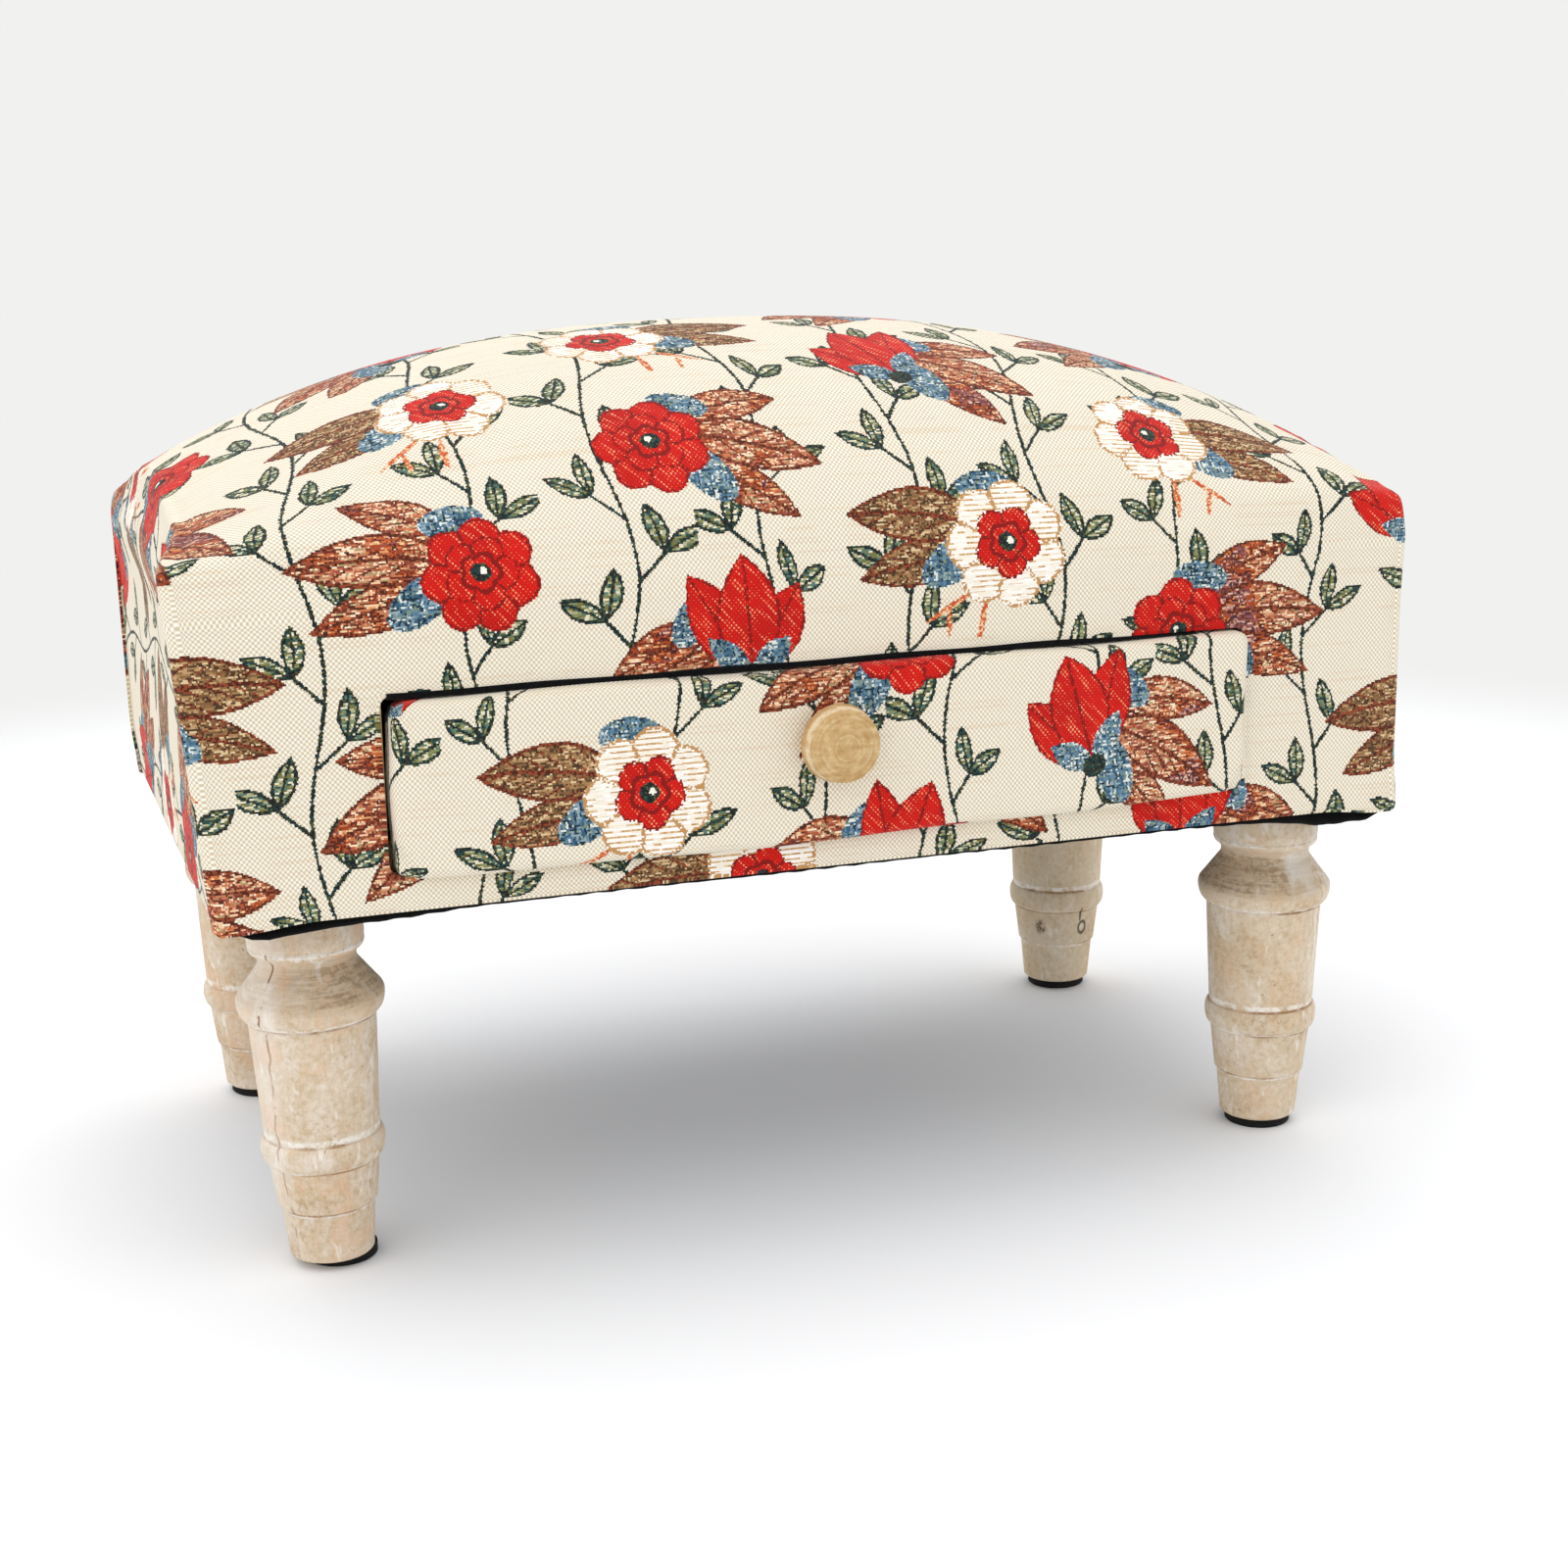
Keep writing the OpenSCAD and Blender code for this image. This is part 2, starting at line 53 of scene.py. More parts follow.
# The stool's own measures, read from its frame
COVER_LOW, COVER_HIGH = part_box("cover")
BASE_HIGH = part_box("base_board")[1]
DECK_LOW, DECK_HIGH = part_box("deck_board")
RAIL_LOW, RAIL_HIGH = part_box("front_top_rail")
FRONT_LOW, FRONT_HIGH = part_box("drawer_front_cover")
KNOB_LOW, KNOB_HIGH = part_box("knob")
LINING_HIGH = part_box("lining")[1]
LEG_LOW, LEG_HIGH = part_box("leg_front_left")
MID_Y = (COVER_LOW.y + COVER_HIGH.y) / 2
HALF_X = 200 * MM  # the box, without the bulge of the ends
HALF_Y = (COVER_HIGH.y - COVER_LOW.y) / 2
BOTTOM_Z = COVER_LOW.z
TOP_Z = COVER_HIGH.z
SHOULDER_Z = DECK_HIGH.z + 1.5 * MM
LEG_X = abs(LEG_LOW.x + LEG_HIGH.x) / 2
LEG_Y = abs((LEG_LOW.y + LEG_HIGH.y) / 2 - MID_Y)

CLOTH_UV = "Cloth"


def linear(code):
    """A colour written as #rrggbb, in the linear values that shaders take."""
    parts = [int(code[i:i + 2], 16) / 255 for i in (1, 3, 5)]
    return tuple(c / 12.92 if c <= 0.04045 else ((c + 0.055) / 1.055) ** 2.4 for c in parts) + (1.0,)


def math_node(operation, swapped=False):
    """A method for Wire that adds a Math node."""
    def method(wire, *others):
        values = [*others, wire] if swapped else [wire, *others]
        return wire.nodes.node("ShaderNodeMath", {"operation": operation}, values)
    return method


class Wire:
    """A value that runs through a node tree. Expressions on wires add Math nodes: & gives the
    lower and | the higher of two, and ~ what is missing to 1."""

    def __init__(self, nodes, socket):
        self.nodes = nodes
        self.socket = socket

    __add__ = __radd__ = math_node("ADD")
    __sub__ = math_node("SUBTRACT")
    __rsub__ = math_node("SUBTRACT", swapped=True)
    __mul__ = __rmul__ = math_node("MULTIPLY")
    __truediv__ = math_node("DIVIDE")
    __mod__ = math_node("FLOORED_MODULO")
    __lt__ = math_node("LESS_THAN")
    __gt__ = math_node("GREATER_THAN")
    __and__ = math_node("MINIMUM")
    __or__ = math_node("MAXIMUM")
    __abs__ = math_node("ABSOLUTE")
    arctan2 = math_node("ARCTAN2")
    floor = math_node("FLOOR")
    fraction = math_node("FRACT")
    sin = math_node("SINE")
    cos = math_node("COSINE")
    sqrt = math_node("SQRT")

    def __invert__(self):
        return 1.0 - self


class Nodes:
    """A node tree under construction."""

    def __init__(self, owner):
        owner.use_nodes = True
        self.tree = owner.node_tree
        self.tree.nodes.clear()

    def plug(self, socket, value):
        """Links a wire to a socket, or sets it to a colour's code or a plain value."""
        if isinstance(value, Wire):
            self.tree.links.new(value.socket, socket)
        else:
            socket.default_value = linear(value) if isinstance(value, str) else value

    def node(self, kind, settings=None, inputs=(), output=0):
        """Adds any node and returns one of its outputs."""
        made = self.tree.nodes.new(kind)
        for name, value in (settings or {}).items():
            setattr(made, name, value)
        for key, value in inputs.items() if isinstance(inputs, dict) else enumerate(inputs):
            self.plug(made.inputs[key], value)
        return Wire(self, made.outputs[output])


class Finish(Nodes):
    """One material under construction, with a plain shader at its end."""

    def __init__(self, name, roughness, specular=0.5, **constants):
        self.material = bpy.data.materials.new(name)
        super().__init__(self.material)
        self.shader = self.tree.nodes.new("ShaderNodeBsdfPrincipled")
        self.shader.inputs["Roughness"].default_value = roughness
        self.shader.inputs["Specular IOR Level"].default_value = specular
        for socket, value in constants.items():
            self.shader.inputs[socket.replace("_", " ")].default_value = value
        self.output = self.tree.nodes.new("ShaderNodeOutputMaterial")
        self.tree.links.new(self.shader.outputs[0], self.output.inputs[0])
        self.paint = None

    def split(self, vector):
        """The three numbers of a vector."""
        first = self.node("ShaderNodeSeparateXYZ", None, [vector])
        return [Wire(self, socket) for socket in first.socket.node.outputs]

    def join(self, x, y, z=0.0):
        return self.node("ShaderNodeCombineXYZ", None, [x, y, z])

    def mix(self, share, under, over):
        """Colour `over` laid on colour `under` by a share from 0 to 1."""
        return self.node("ShaderNodeMix", {"data_type": "RGBA"}, {0: share, 6: under, 7: over}, 2)

    def lay(self, share, shade):
        """Lays a colour on the paint so far."""
        self.paint = self.mix(share, self.paint, shade)

    def ramp(self, value, stops, steps="LINEAR"):
        wire = self.node("ShaderNodeValToRGB", None, [value])
        ramp = wire.socket.node.color_ramp
        ramp.interpolation = steps
        while len(ramp.elements) < len(stops):
            ramp.elements.new(1)
        for element, (place, code) in zip(ramp.elements, stops):
            element.position = place
            element.color = linear(code)
        return wire

    def fit(self, value, low, high, to_low=0.0, to_high=1.0):
        """Carries the range from low to high over to another one, softly and no further."""
        return self.node("ShaderNodeMapRange", {"interpolation_type": "SMOOTHSTEP"},
                         [value, low, high, to_low, to_high])

    def fade(self, value, low, high, start=1.0, end=0.0):
        """As fit, but falling."""
        return self.fit(value, low, high, start, end)

    def dice(self, x, y=0.0, output=0):
        """White noise of two whole numbers, as a value, or with output 1 as a vector."""
        return self.node("ShaderNodeTexWhiteNoise", {"noise_dimensions": "2D"},
                         {"Vector": self.join(x, y)}, output)

    def noise(self, vector, scale=1.0, detail=2.0, roughness=0.5, distortion=0.0, flat=False):
        """Noise of one scale, or stretched to the three lengths given in its place."""
        if isinstance(scale, tuple):
            vector, scale = self.stretched(vector, scale), 1.0
        return self.node("ShaderNodeTexNoise", {"noise_dimensions": "2D" if flat else "3D"},
                         {"Vector": vector, "Scale": scale, "Detail": detail,
                          "Roughness": roughness, "Distortion": distortion})

    def stretched(self, vector, scale, location=(0, 0, 0), turn=0.0):
        """A vector moved, turned and divided by a size: the coordinates inside a form."""
        return self.node("ShaderNodeMapping", {"vector_type": "TEXTURE"},
                         {"Vector": vector, "Location": location,
                          "Rotation": (0, 0, turn), "Scale": scale})

    def length(self, vector):
        return self.node("ShaderNodeVectorMath", {"operation": "LENGTH"}, [vector], "Value")

    def place(self):
        """Where a point lies on the object, in metres."""
        return self.node("ShaderNodeTexCoord", output="Object")

    def bump(self, height, distance, strength=1.0):
        bumped = self.node("ShaderNodeBump", None,
                           {"Strength": strength, "Distance": distance, "Height": height})
        self.plug(self.shader.inputs["Normal"], bumped)

    def colour(self, value):
        self.plug(self.shader.inputs["Base Color"], value)
        return self.material


# The woven cloth, in millimetres on the flat cloth: the pitch of its weft and of its warp, the
# length of a float, and the pitch of the ground's dots
PICK = 0.58
END = 0.62
FLOAT_L = 2.5
DOT_PITCH = (1.5, 1.72)

GROUND = ("#D2C2A2", "#F9F2E3")
BACK_YARN = "#D3A576"
RED = ("#AE0502", "#DC1608")
RED_DOTS = ("#E84E2A", "#F6B084")
DEEP_RED = "#86100A"
PALE_RUSSET = [(0.0, "#6E3222"), (0.1, "#C4744A"), (0.24, "#EDC29C"), (0.36, "#AA583A"),
               (0.48, "#F6E0BE"), (0.58, "#B67A58"), (0.7, "#DB9C78"), (0.8, "#8E463A"), (0.9, "#A89468")]
DEEP_RUSSET = [(0.0, "#48180C"), (0.12, "#A6441C"), (0.28, "#CC713A"), (0.4, "#822F16"),
               (0.52, "#DE9C66"), (0.62, "#9C401E"), (0.74, "#BC5C34"), (0.84, "#5E2418"), (0.92, "#EFCBA0")]
MAUVE = [(0.0, "#4C2A30"), (0.2, "#905A58"), (0.4, "#C08C7C"), (0.55, "#703C40"), (0.7, "#E0B49C"),
         (0.85, "#984E48")]
UMBER = [(0.0, "#4A3420"), (0.16, "#7C5836"), (0.34, "#A27C50"), (0.52, "#DCC094"), (0.64, "#8A6440"),
         (0.8, "#BC966A"), (0.92, "#5C4028")]
SLATE = [(0.0, "#17303C"), (0.16, "#365A72"), (0.32, "#5F829A"), (0.48, "#93A6AC"), (0.62, "#DEE2DB"),
         (0.72, "#4A6C80"), (0.86, "#788A7C")]
CHALK = ("#F3E7D2", "#FFFEFA")
CHALK_LINES = ("#B8864E", "#E3C08E")
RUST = [(0.0, "#C4502A"), (0.4, "#DA7C4A"), (0.75, "#EFC69A")]
GREEN = [(0.0, "#14221E"), (0.32, "#24403A"), (0.52, "#0E1717"), (0.66, "#4E5430"), (0.78, "#3A2A1E"),
         (0.88, "#1A3238")]
LEAF_FILL = [(0.0, "#E4DBBE"), (0.2, "#868B5E"), (0.38, "#587468"), (0.56, "#B2B08A"), (0.72, "#2C463C"),
             (0.86, "#76713F")]
VEIN_BROWN = ("#4E2012", "#8C4226")
PETAL_EDGE = "#C08E58"
FLOWER_EYE = "#F6EFDF"

# The layout: a flower's cell, the gaps between stems and between twigs, and how far the stems
# sway over what height
FLOWER_CELL = (85.0, 70.0)
VINE_GAP = 47.0
TWIG_GAP = 39.0
SWAY = (3.6, 97.0)


class Figure:
    """Draws forms round one point of the cloth."""

    def __init__(self, f, x, y):
        self.f = f
        self.point = f.join(x, y)

    def oval(self, centre, size, turn=0.0):
        return self.f.length(self.f.stretched(self.point, (*size, 1), (*centre, 0), turn)) < 1.0

    def leaf(self, root, tip, width):
        """A pointed leaf. Returns how deep a point is in it, from 0 at its edge to 1, with
        the share of the way from root to tip and the distance from its rib."""
        dx, dy = tip[0] - root[0], tip[1] - root[1]
        size = (math.hypot(dx, dy), width / 2, 1)
        within = self.f.stretched(self.point, size, (*root, 0), math.atan2(dy, dx))
        along, across, _ = self.f.split(within)
        across = abs(across)
        return along * (1.0 - along) * 4.0 - across, along, across

    def bloom(self, centre, radius, depth, petals, phase=0.0):
        """A round flower with scalloped petals. Returns its share of the radius, which is 1
        at its edge, and how near a point is to the middle of a petal."""
        x, y, _ = self.f.split(self.f.stretched(self.point, (1, 1, 1), (*centre, 0)))
        crest = abs((y.arctan2(x) * (petals / 2) + phase).sin())
        return (x * x + y * y).sqrt() / (crest * depth + (radius - depth)), crest


class Weave:
    """The threads that meet at a point of the cloth, and the colour woven there."""

    def __init__(self, f):
        self.f = f
        self.raised = 0.0
        self.u, self.v, _ = f.split(f.node("ShaderNodeUVMap", {"uv_map": CLOTH_UV}))
        flat = f.join(self.u, self.v)
        pick = (self.v / PICK).floor()
        slip = f.dice(pick)
        end = (self.u / END + slip).floor()
        self.at_u = (end - slip + 0.5) * END
        self.at_v = (pick + 0.5) * PICK
        self.fleck = f.dice(end, pick)
        self.weft = f.dice((self.u / FLOAT_L + slip * 7.0).floor(), pick)
        self.warp = f.dice(end, (self.v / FLOAT_L + 0.3).floor())
        self.zone = f.noise(flat, scale=0.055, flat=True)
        self.flow = f.noise(f.stretched(flat, (8.0, 1.5, 1.0), turn=-0.85), flat=True)
        self.dot = (self.u * (TURN / DOT_PITCH[0])).cos() * (self.v * (TURN / DOT_PITCH[1])).cos()
        f.paint = f.mix(f.fit(self.dot, -0.45, 0.35), *GROUND)
        self.lay((slip > 0.86) * f.fit(self.zone, 0.42, 0.6) * 0.16, BACK_YARN)

    def lay(self, mask, yarn, raised=False):
        """Weaves a yarn where the mask is 1, flat or raised from the ground."""
        self.f.lay(mask, yarn)
        if raised:
            self.raised = mask | self.raised

    def yarns(self, value, stops):
        return self.f.ramp(value, stops, "CONSTANT")

    def floats(self):
        """One number for each float of the weft, with some of its crossings different."""
        return (self.weft + (self.fleck > 0.68) * 0.37).fraction()

    def red(self):
        f = self.f
        dots = self.dot > 0.97 - f.fit(self.flow, 0.44, 0.72) * 0.85
        return f.mix(dots, f.mix(self.zone, *RED), f.mix(self.fleck, *RED_DOTS))

    def russet(self):
        """Pale, deep and mauve brown, in zones that run into each other along the floats."""
        f, value = self.f, self.floats()
        zone = self.zone + (self.weft - 0.5) * 0.12
        brown = f.mix(zone > 0.5, self.yarns(value, PALE_RUSSET), self.yarns(value, DEEP_RUSSET))
        return f.mix(zone > 0.62, brown, self.yarns(value, MAUVE))

    def slate(self):
        """Weft and warp both show, as a grid."""
        return self.yarns(self.warp + (self.weft - self.warp) * (self.fleck > 0.5), SLATE)

    def chalk(self):
        f = self.f
        in_row = (self.v / DOT_PITCH[1]).fraction() < 0.36
        line = in_row & (self.weft > f.fit(self.zone, 0.4, 0.62, 0.15, 0.7))
        return f.mix(line, f.mix(self.weft, *CHALK), f.mix(self.fleck, *CHALK_LINES))


def weave_vines(w):
    """Swaying stems that send a forked twig to each side in turn, with a leaf on each fork."""
    f = w.f
    column = (w.at_u / VINE_GAP).floor()
    sway = (w.at_v * (TURN / SWAY[1]) + column * 2.4).sin() * SWAY[0]
    side = w.at_u - (column + 0.5) * VINE_GAP - sway
    right = side > 0.0
    unit = w.at_v / TWIG_GAP + right * 0.5 + column * 0.37
    level = unit.floor()
    roll = f.dice(level, column * 2.0 + right)
    reach = abs(side)
    out = reach * (roll * 0.32 + 0.9)
    rise = (unit - level - 0.5) * TWIG_GAP
    stem = reach < 0.55
    twig = (abs(out - rise - 12.0) < 0.8) & (out < 9.0)
    figure, fork = Figure(f, out, rise), (8.5, -3.4)
    upper, _, upper_rib = figure.leaf(fork, (6.8, 12.6), 6.8)
    lower, _, lower_rib = figure.leaf(fork, (22.5, 3.8), 6.6)
    depth = upper | lower
    rib = f.mix(upper > lower, lower_rib, upper_rib)
    w.lay(stem | twig | (depth > 0.0), w.yarns(w.fleck, GREEN), raised=True)
    hatch = f.dice((w.at_u / (2 * END)).floor(), w.at_v)
    w.lay((depth > 0.3) & (rib > 0.13), w.yarns(hatch, LEAF_FILL))


def flower_cells(w):
    """Cells of the flowers, every other column half a cell up: a flower's own coordinates,
    its dice and which of the three flowers it is."""
    f = w.f
    across = w.at_u / FLOWER_CELL[0]
    column = across.floor()
    up = w.at_v / FLOWER_CELL[1] + (column % 2.0) * 0.5
    level = up.floor()
    rolls = f.split(f.dice(column, level, 1))
    mirror = (rolls[0] > 0.5) * 2.0 - 1.0
    x = (across - column - 0.5) * FLOWER_CELL[0] * mirror
    y = (up - level - 0.5) * FLOWER_CELL[1]
    return x, y, rolls, (column + level * 2.0) % 3.0


def weave_flowers(w):
    """A red bloom, a red flower seen from the side, and a white one with a red throat, each
    with brown leaves sweeping from it and slate ones under it."""
    f = w.f
    x, y, rolls, kind = flower_cells(w)
    white = kind > 1.5
    front = (kind < 0.5) | white
    side = ~front
    turn = (rolls[1] - 0.5) * 0.7 + side * 0.35 - white * 0.2
    x, y, _ = f.split(f.node("ShaderNodeVectorRotate", {"rotation_type": "Z_AXIS"},
                             {"Vector": f.join(x, y), "Angle": turn}))
    figure = Figure(f, x, y)
    swept = Figure(f, x, x * x * 0.005 + y)
    red, slate, green = w.red(), w.slate(), w.yarns(w.fleck, GREEN)
    brown = f.mix(white, w.russet(), w.yarns(w.floats(), UMBER))
    vein_brown = f.mix(w.fleck > 0.5, *VEIN_BROWN)

    # The brown leaves, the uppermost of which the white flower goes without
    for root, tip, width, shown in (((-6, 9), (32, 20), 14, ~white), ((-4, -7), (29, -25), 15, 1.0),
                                    ((-5, 2), (40, -4), 19, 1.0)):
        depth, along, rib = swept.leaf(root, tip, width)
        inside = (depth > 0.0) & shown
        barbs = (rib * 2.2 - along * 7.0).fraction() < 0.2
        w.lay(inside, brown, raised=True)
        w.lay(inside & ((depth < 0.13) | (rib < 0.07) | (barbs & (w.weft > 0.3))), vein_brown)

    w.lay(figure.oval((2, -12), (6.5, 12), 0.6) | figure.oval((-1, 15), (10, 5.5), -0.4), slate)

    for root, tip, width in (((-13, -17), (-18, -36), 2.1), ((-9, -17), (3, -34), 1.9),
                             ((-3, -26), (-7, -35), 1.7)):
        w.lay((figure.leaf(root, tip, width)[0] > 0.0) & white, w.yarns(w.fleck, RUST))

    # The flower from the side: three petals out of a slate cup
    cup = (-5, -12)
    for tip, width in (((-34, 3), 17), ((-7, 27), 17), ((-25, 21), 21)):
        depth, _, rib = figure.leaf(cup, tip, width)
        inside = (depth > 0.0) & side
        w.lay(inside, red, raised=True)
        w.lay(inside & ((depth < 0.1) | (rib < 0.05)) & (w.fleck > 0.25), DEEP_RED)
    for tip, width in (((-22, -9), 9), ((-1, 7), 8.5)):
        w.lay((figure.leaf(cup, tip, width)[0] > 0.0) & side, slate)
    w.lay(figure.oval(cup, (4.2, 3.6), 0.8) & side, green)

    # The flowers from the front: outer petals, an inner ring and the heart
    outer, crest = figure.bloom((-13, 0), white * 2.5 + 18.5, 3.4, 7)
    inside = (outer < 1.0) & front
    w.lay(inside, f.mix(white, red, w.chalk()), raised=True)
    notch = (crest < 0.17) & (outer > 0.55)
    w.lay(inside & (notch | (outer > 0.94)) & (w.fleck > 0.3), f.mix(white, DEEP_RED, PETAL_EDGE))
    heart = (-13, 0.6)
    inner, crest = figure.bloom(heart, 11.0, 2.4, 5, 0.6)
    curl = (abs(inner - 0.56) < 0.07) | ((crest < 0.16) & (inner > 0.56))
    for mask, yarn in (((inner < 1.08) & (w.fleck > 0.22), DEEP_RED), (inner < 1.0, red),
                       (curl & (inner < 1.0), DEEP_RED), (figure.oval(heart, (3.2, 3.0)), green),
                       (figure.oval((-13.7, 1.3), (1.2, 1.0)), FLOWER_EYE)):
        w.lay(mask & front, yarn)


def woven_cloth():
    f = Finish("woven_cloth", roughness=0.92, specular=0.12, Sheen_Weight=0.1,
               Sheen_Roughness=0.6)
    w = Weave(f)
    weave_vines(w)
    weave_flowers(w)
    plain = f.fit(w.dot, -0.5, 0.6) * 0.6
    floats = w.weft * 0.5 + w.fleck * 0.35 + 0.35
    f.bump(plain + w.raised * (floats - plain), 0.28 * MM, 0.9)
    return f.colour(f.paint)


# The turned edges of a leg in millimetres: height, how far white paste lies above and below it,
# and how dark the line along it is
LEG_EDGES = ((105.9, 0.7, 0.9, 0.25), (82.2, 1.7, 0.6, 0.7), (20.2, 0.3, 1.1, 0.8))
RING_EDGES = ((43.9, 2.4, 0.4, 0.85), (34.8, 0.9, 0.2, 0.7))
RIGHT_RING_UP = 1.6
LEFT_LEG_LEAN = 0.0246
BULB_Z = 95.5 * MM
CRACK_ANGLE = -2.49
# Spots on the back right leg: middle and half size in millimetres
KNOT = ((171.1, 78.2, 27.6), (2.5, 2.5, 3.6))
KNOT_TAIL = ((169.8, 76.6, 33.5), (0.7, 3, 4.5))
BLOT = ((154.4, 83.2, 28.0), (2.5, 2.5, 3.6))


def limed_wood():
    """Pale turned wood, mottled, with white paste left along its edges and a darker brown over
    each bulb, darkest towards the inside of the stool."""
    f = Finish("limed_wood", roughness=0.82, specular=0.2)
    place = f.place()
    x, y, z = f.split(place)
    right, back = x > 0.0, y > MID_Y
    inside = 1.0 - right * 2.0
    x = x + inside * LEG_X
    y = y - MID_Y - (back * 2.0 - 1.0) * LEG_Y
    front_left, front_right, back_right = ~(right | back), right & ~back, right & back
    z = z - x * LEFT_LEG_LEAN * front_left
    p = f.join(x + (right + back * 2.0) * 0.21, y, z)
    cloud = f.noise(p, scale=52.0, detail=3.0)
    mottle = f.noise(p, scale=500.0, detail=4.0, roughness=0.72)
    chips = f.noise(p, scale=150.0, detail=3.0, roughness=0.6)
    patch = f.noise(p, (0.012, 0.012, 0.019), detail=4.0, roughness=0.62, distortion=0.8)
    fibre = f.noise(p, (0.0013, 0.0013, 0.016), detail=3.0)
    streak = f.noise(p, (0.0045, 0.0045, 0.012), distortion=0.5)
    turned = f.noise(p, (0.010, 0.010, 0.0008), detail=3.0)

    # The limed ground, each leg's mottle a little different, with painted light on some legs
    f.paint = f.ramp(cloud * 0.42 + mottle * 0.58, [(0.34, "#B3936F"), (0.43, "#C9B192"), (0.5, "#D2BEA3"),
                                                    (0.58, "#DAC9B3"), (0.68, "#E8DCCC")])
    f.lay(f.fit(patch, 0.5, 0.64) * (0.5 - right * 0.2), "#DDB592")
    f.lay(f.fade(patch, 0.34, 0.5) * f.fit(mottle, 0.3, 0.56, 0.3, 1.0) * 0.5, "#E6DCD0")
    f.lay(f.fit(fibre, 0.56, 0.74) * 0.3, "#BE9E78")
    f.lay(f.fit(streak, 0.64, 0.72) * 0.6, "#F1EBE1")
    # painted light: the back right leg, and a little the front right one, are painted paler, standing in for
    # the light that falls on them
    f.lay(back_right * 0.3 + front_right * 0.1, "#D0C3A4")
    # painted highlight on the outer side of each front leg
    side_highlight = (front_right * f.fit(x, 2 * MM, 15 * MM) * f.fit(fibre, 0.4, 0.6)
             | front_left * f.fade(x, -16 * MM, -9 * MM) * f.fade(patch, 0.3, 0.55, 1.0, 0.5))
    f.lay(side_highlight * 0.65, "#EFEAE1")

    # Darker brown over the bulb, darkest towards the inside of the stool
    bulb = f.fade(abs(z - BULB_Z), 4.5 * MM, 9.5 * MM) * f.fit(x * inside, -16 * MM, 8 * MM, 0.3, 1.0)
    f.lay(bulb * 0.3, "#B39A7A")
    f.lay(bulb * f.fit(mottle * 0.5 + turned * 0.3 + cloud * 0.2, 0.43, 0.6) * 0.75, "#8A6C48")
    smear = bulb * front_right * f.fit(x, -5 * MM, -1 * MM) * f.fit(cloud, 0.34, 0.48)
    f.lay(smear * 0.85, "#DBD5CB")

    # White paste and a dark line along each edge
    wander = (chips - 0.5) * 1.0 * MM
    white, line = 0.0, 0.0
    for edges, level in ((LEG_EDGES, z), (RING_EDGES, z - front_right * RIGHT_RING_UP * MM)):
        for height, above, below, dark in edges:
            off = level + wander - (height + (above - below) / 2) * MM
            reach = (above + below) / 2 * MM
            white = f.fade(abs(off), reach * 0.5, reach * 1.2) | white
            line = f.fade(abs(level + wander * 0.4 - height * MM), 0.2 * MM, 0.65 * MM, dark) | line
    crumbs = f.fit(chips, 0.4, 0.52) * f.fit(mottle, 0.34, 0.52, 0.3, 1.0)
    f.lay(white * crumbs * 0.8, "#F3EDE3")
    broken = f.fade(cloud, 0.42, 0.54, 1.0, 0.15) * f.fit(mottle, 0.36, 0.5)
    f.lay(line * broken, "#9A6836")

    # The front left leg's crack, specks, and the back right leg's knots
    drift = f.noise(f.join(0.0, 0.0, z), scale=70.0, detail=3.0) * 0.5 - 0.25
    crack = f.fade(abs(y.arctan2(x) - CRACK_ANGLE + drift), 0.008, 0.03) * front_left
    crack = crack * f.fade(chips, 0.44, 0.54) * f.fit(z, 70 * MM, 84 * MM, 0.55, 1.0)
    f.lay(crack * 0.9, "#8C5A32")
    f.lay((f.noise(p, scale=520.0, detail=1.0) > 0.78) * 0.7, "#94724F")
    knot, tail, blot = [f.length(f.stretched(place, [s * MM for s in size], [c * MM for c in middle]))
                        for middle, size in (KNOT, KNOT_TAIL, BLOT)]
    ring = f.fade(abs(knot - 0.72), 0.1, 0.3) | f.fade(tail, 0.6, 1.0)
    smudge = f.fade(blot, 0.5, 1.2) * f.fit(mottle, 0.44, 0.54)
    f.lay((ring | smudge) * back_right * 0.85, "#4A3A30")
    f.bump(mottle * 0.6 + patch * 0.4 + white * crumbs * 0.5 - line * broken * 0.4 - crack * 0.8,
           0.45 * MM, 0.7)
    return f.colour(f.paint)


# Radii on the knob, in millimetres: its flat face, with a painted highlight round its edge, and its flank,
# painted in shade
KNOB_FACE_R = 11.75
KNOB_FLANK_R = (12.1, 12.4)


def turned_knob_wood():
    f = Finish("turned_knob_wood", roughness=0.75, specular=0.15)
    p = f.place()
    centre = ((KNOB_LOW.x + KNOB_HIGH.x) / 2, 0, (KNOB_LOW.z + KNOB_HIGH.z) / 2)
    x, _, z = f.split(f.stretched(p, (1, 1, 1), centre))
    radius = (x * x + z * z).sqrt() / MM
    rings = f.noise(f.join(radius * 1.3, f.noise(p, scale=90.0) * 0.8), flat=True)
    grain = f.noise(p, (0.014, 0.01, 0.0013), detail=3.0)
    blotch = f.noise(p, scale=330.0, detail=4.0, roughness=0.7)
    f.paint = f.ramp(rings * 0.2 + grain * 0.25 + blotch * 0.55,
                     [(0.36, "#B18B59"), (0.5, "#C5A270"), (0.62, "#D5BA8D")])
    # painted shade on the flank
    f.lay(f.fit(radius, *KNOB_FLANK_R) * 0.4, "#B08660")
    # painted highlight round the edge of the face
    rim = f.fade(abs(radius - KNOB_FACE_R), 0.1, 0.45) * f.fit(blotch, 0.36, 0.54, 0.2, 1.0)
    f.lay(rim * 0.65, "#EDDDBC")
    f.bump(rings * 0.3 + blotch * 0.7, 0.2 * MM, 0.7)
    return f.colour(f.paint)


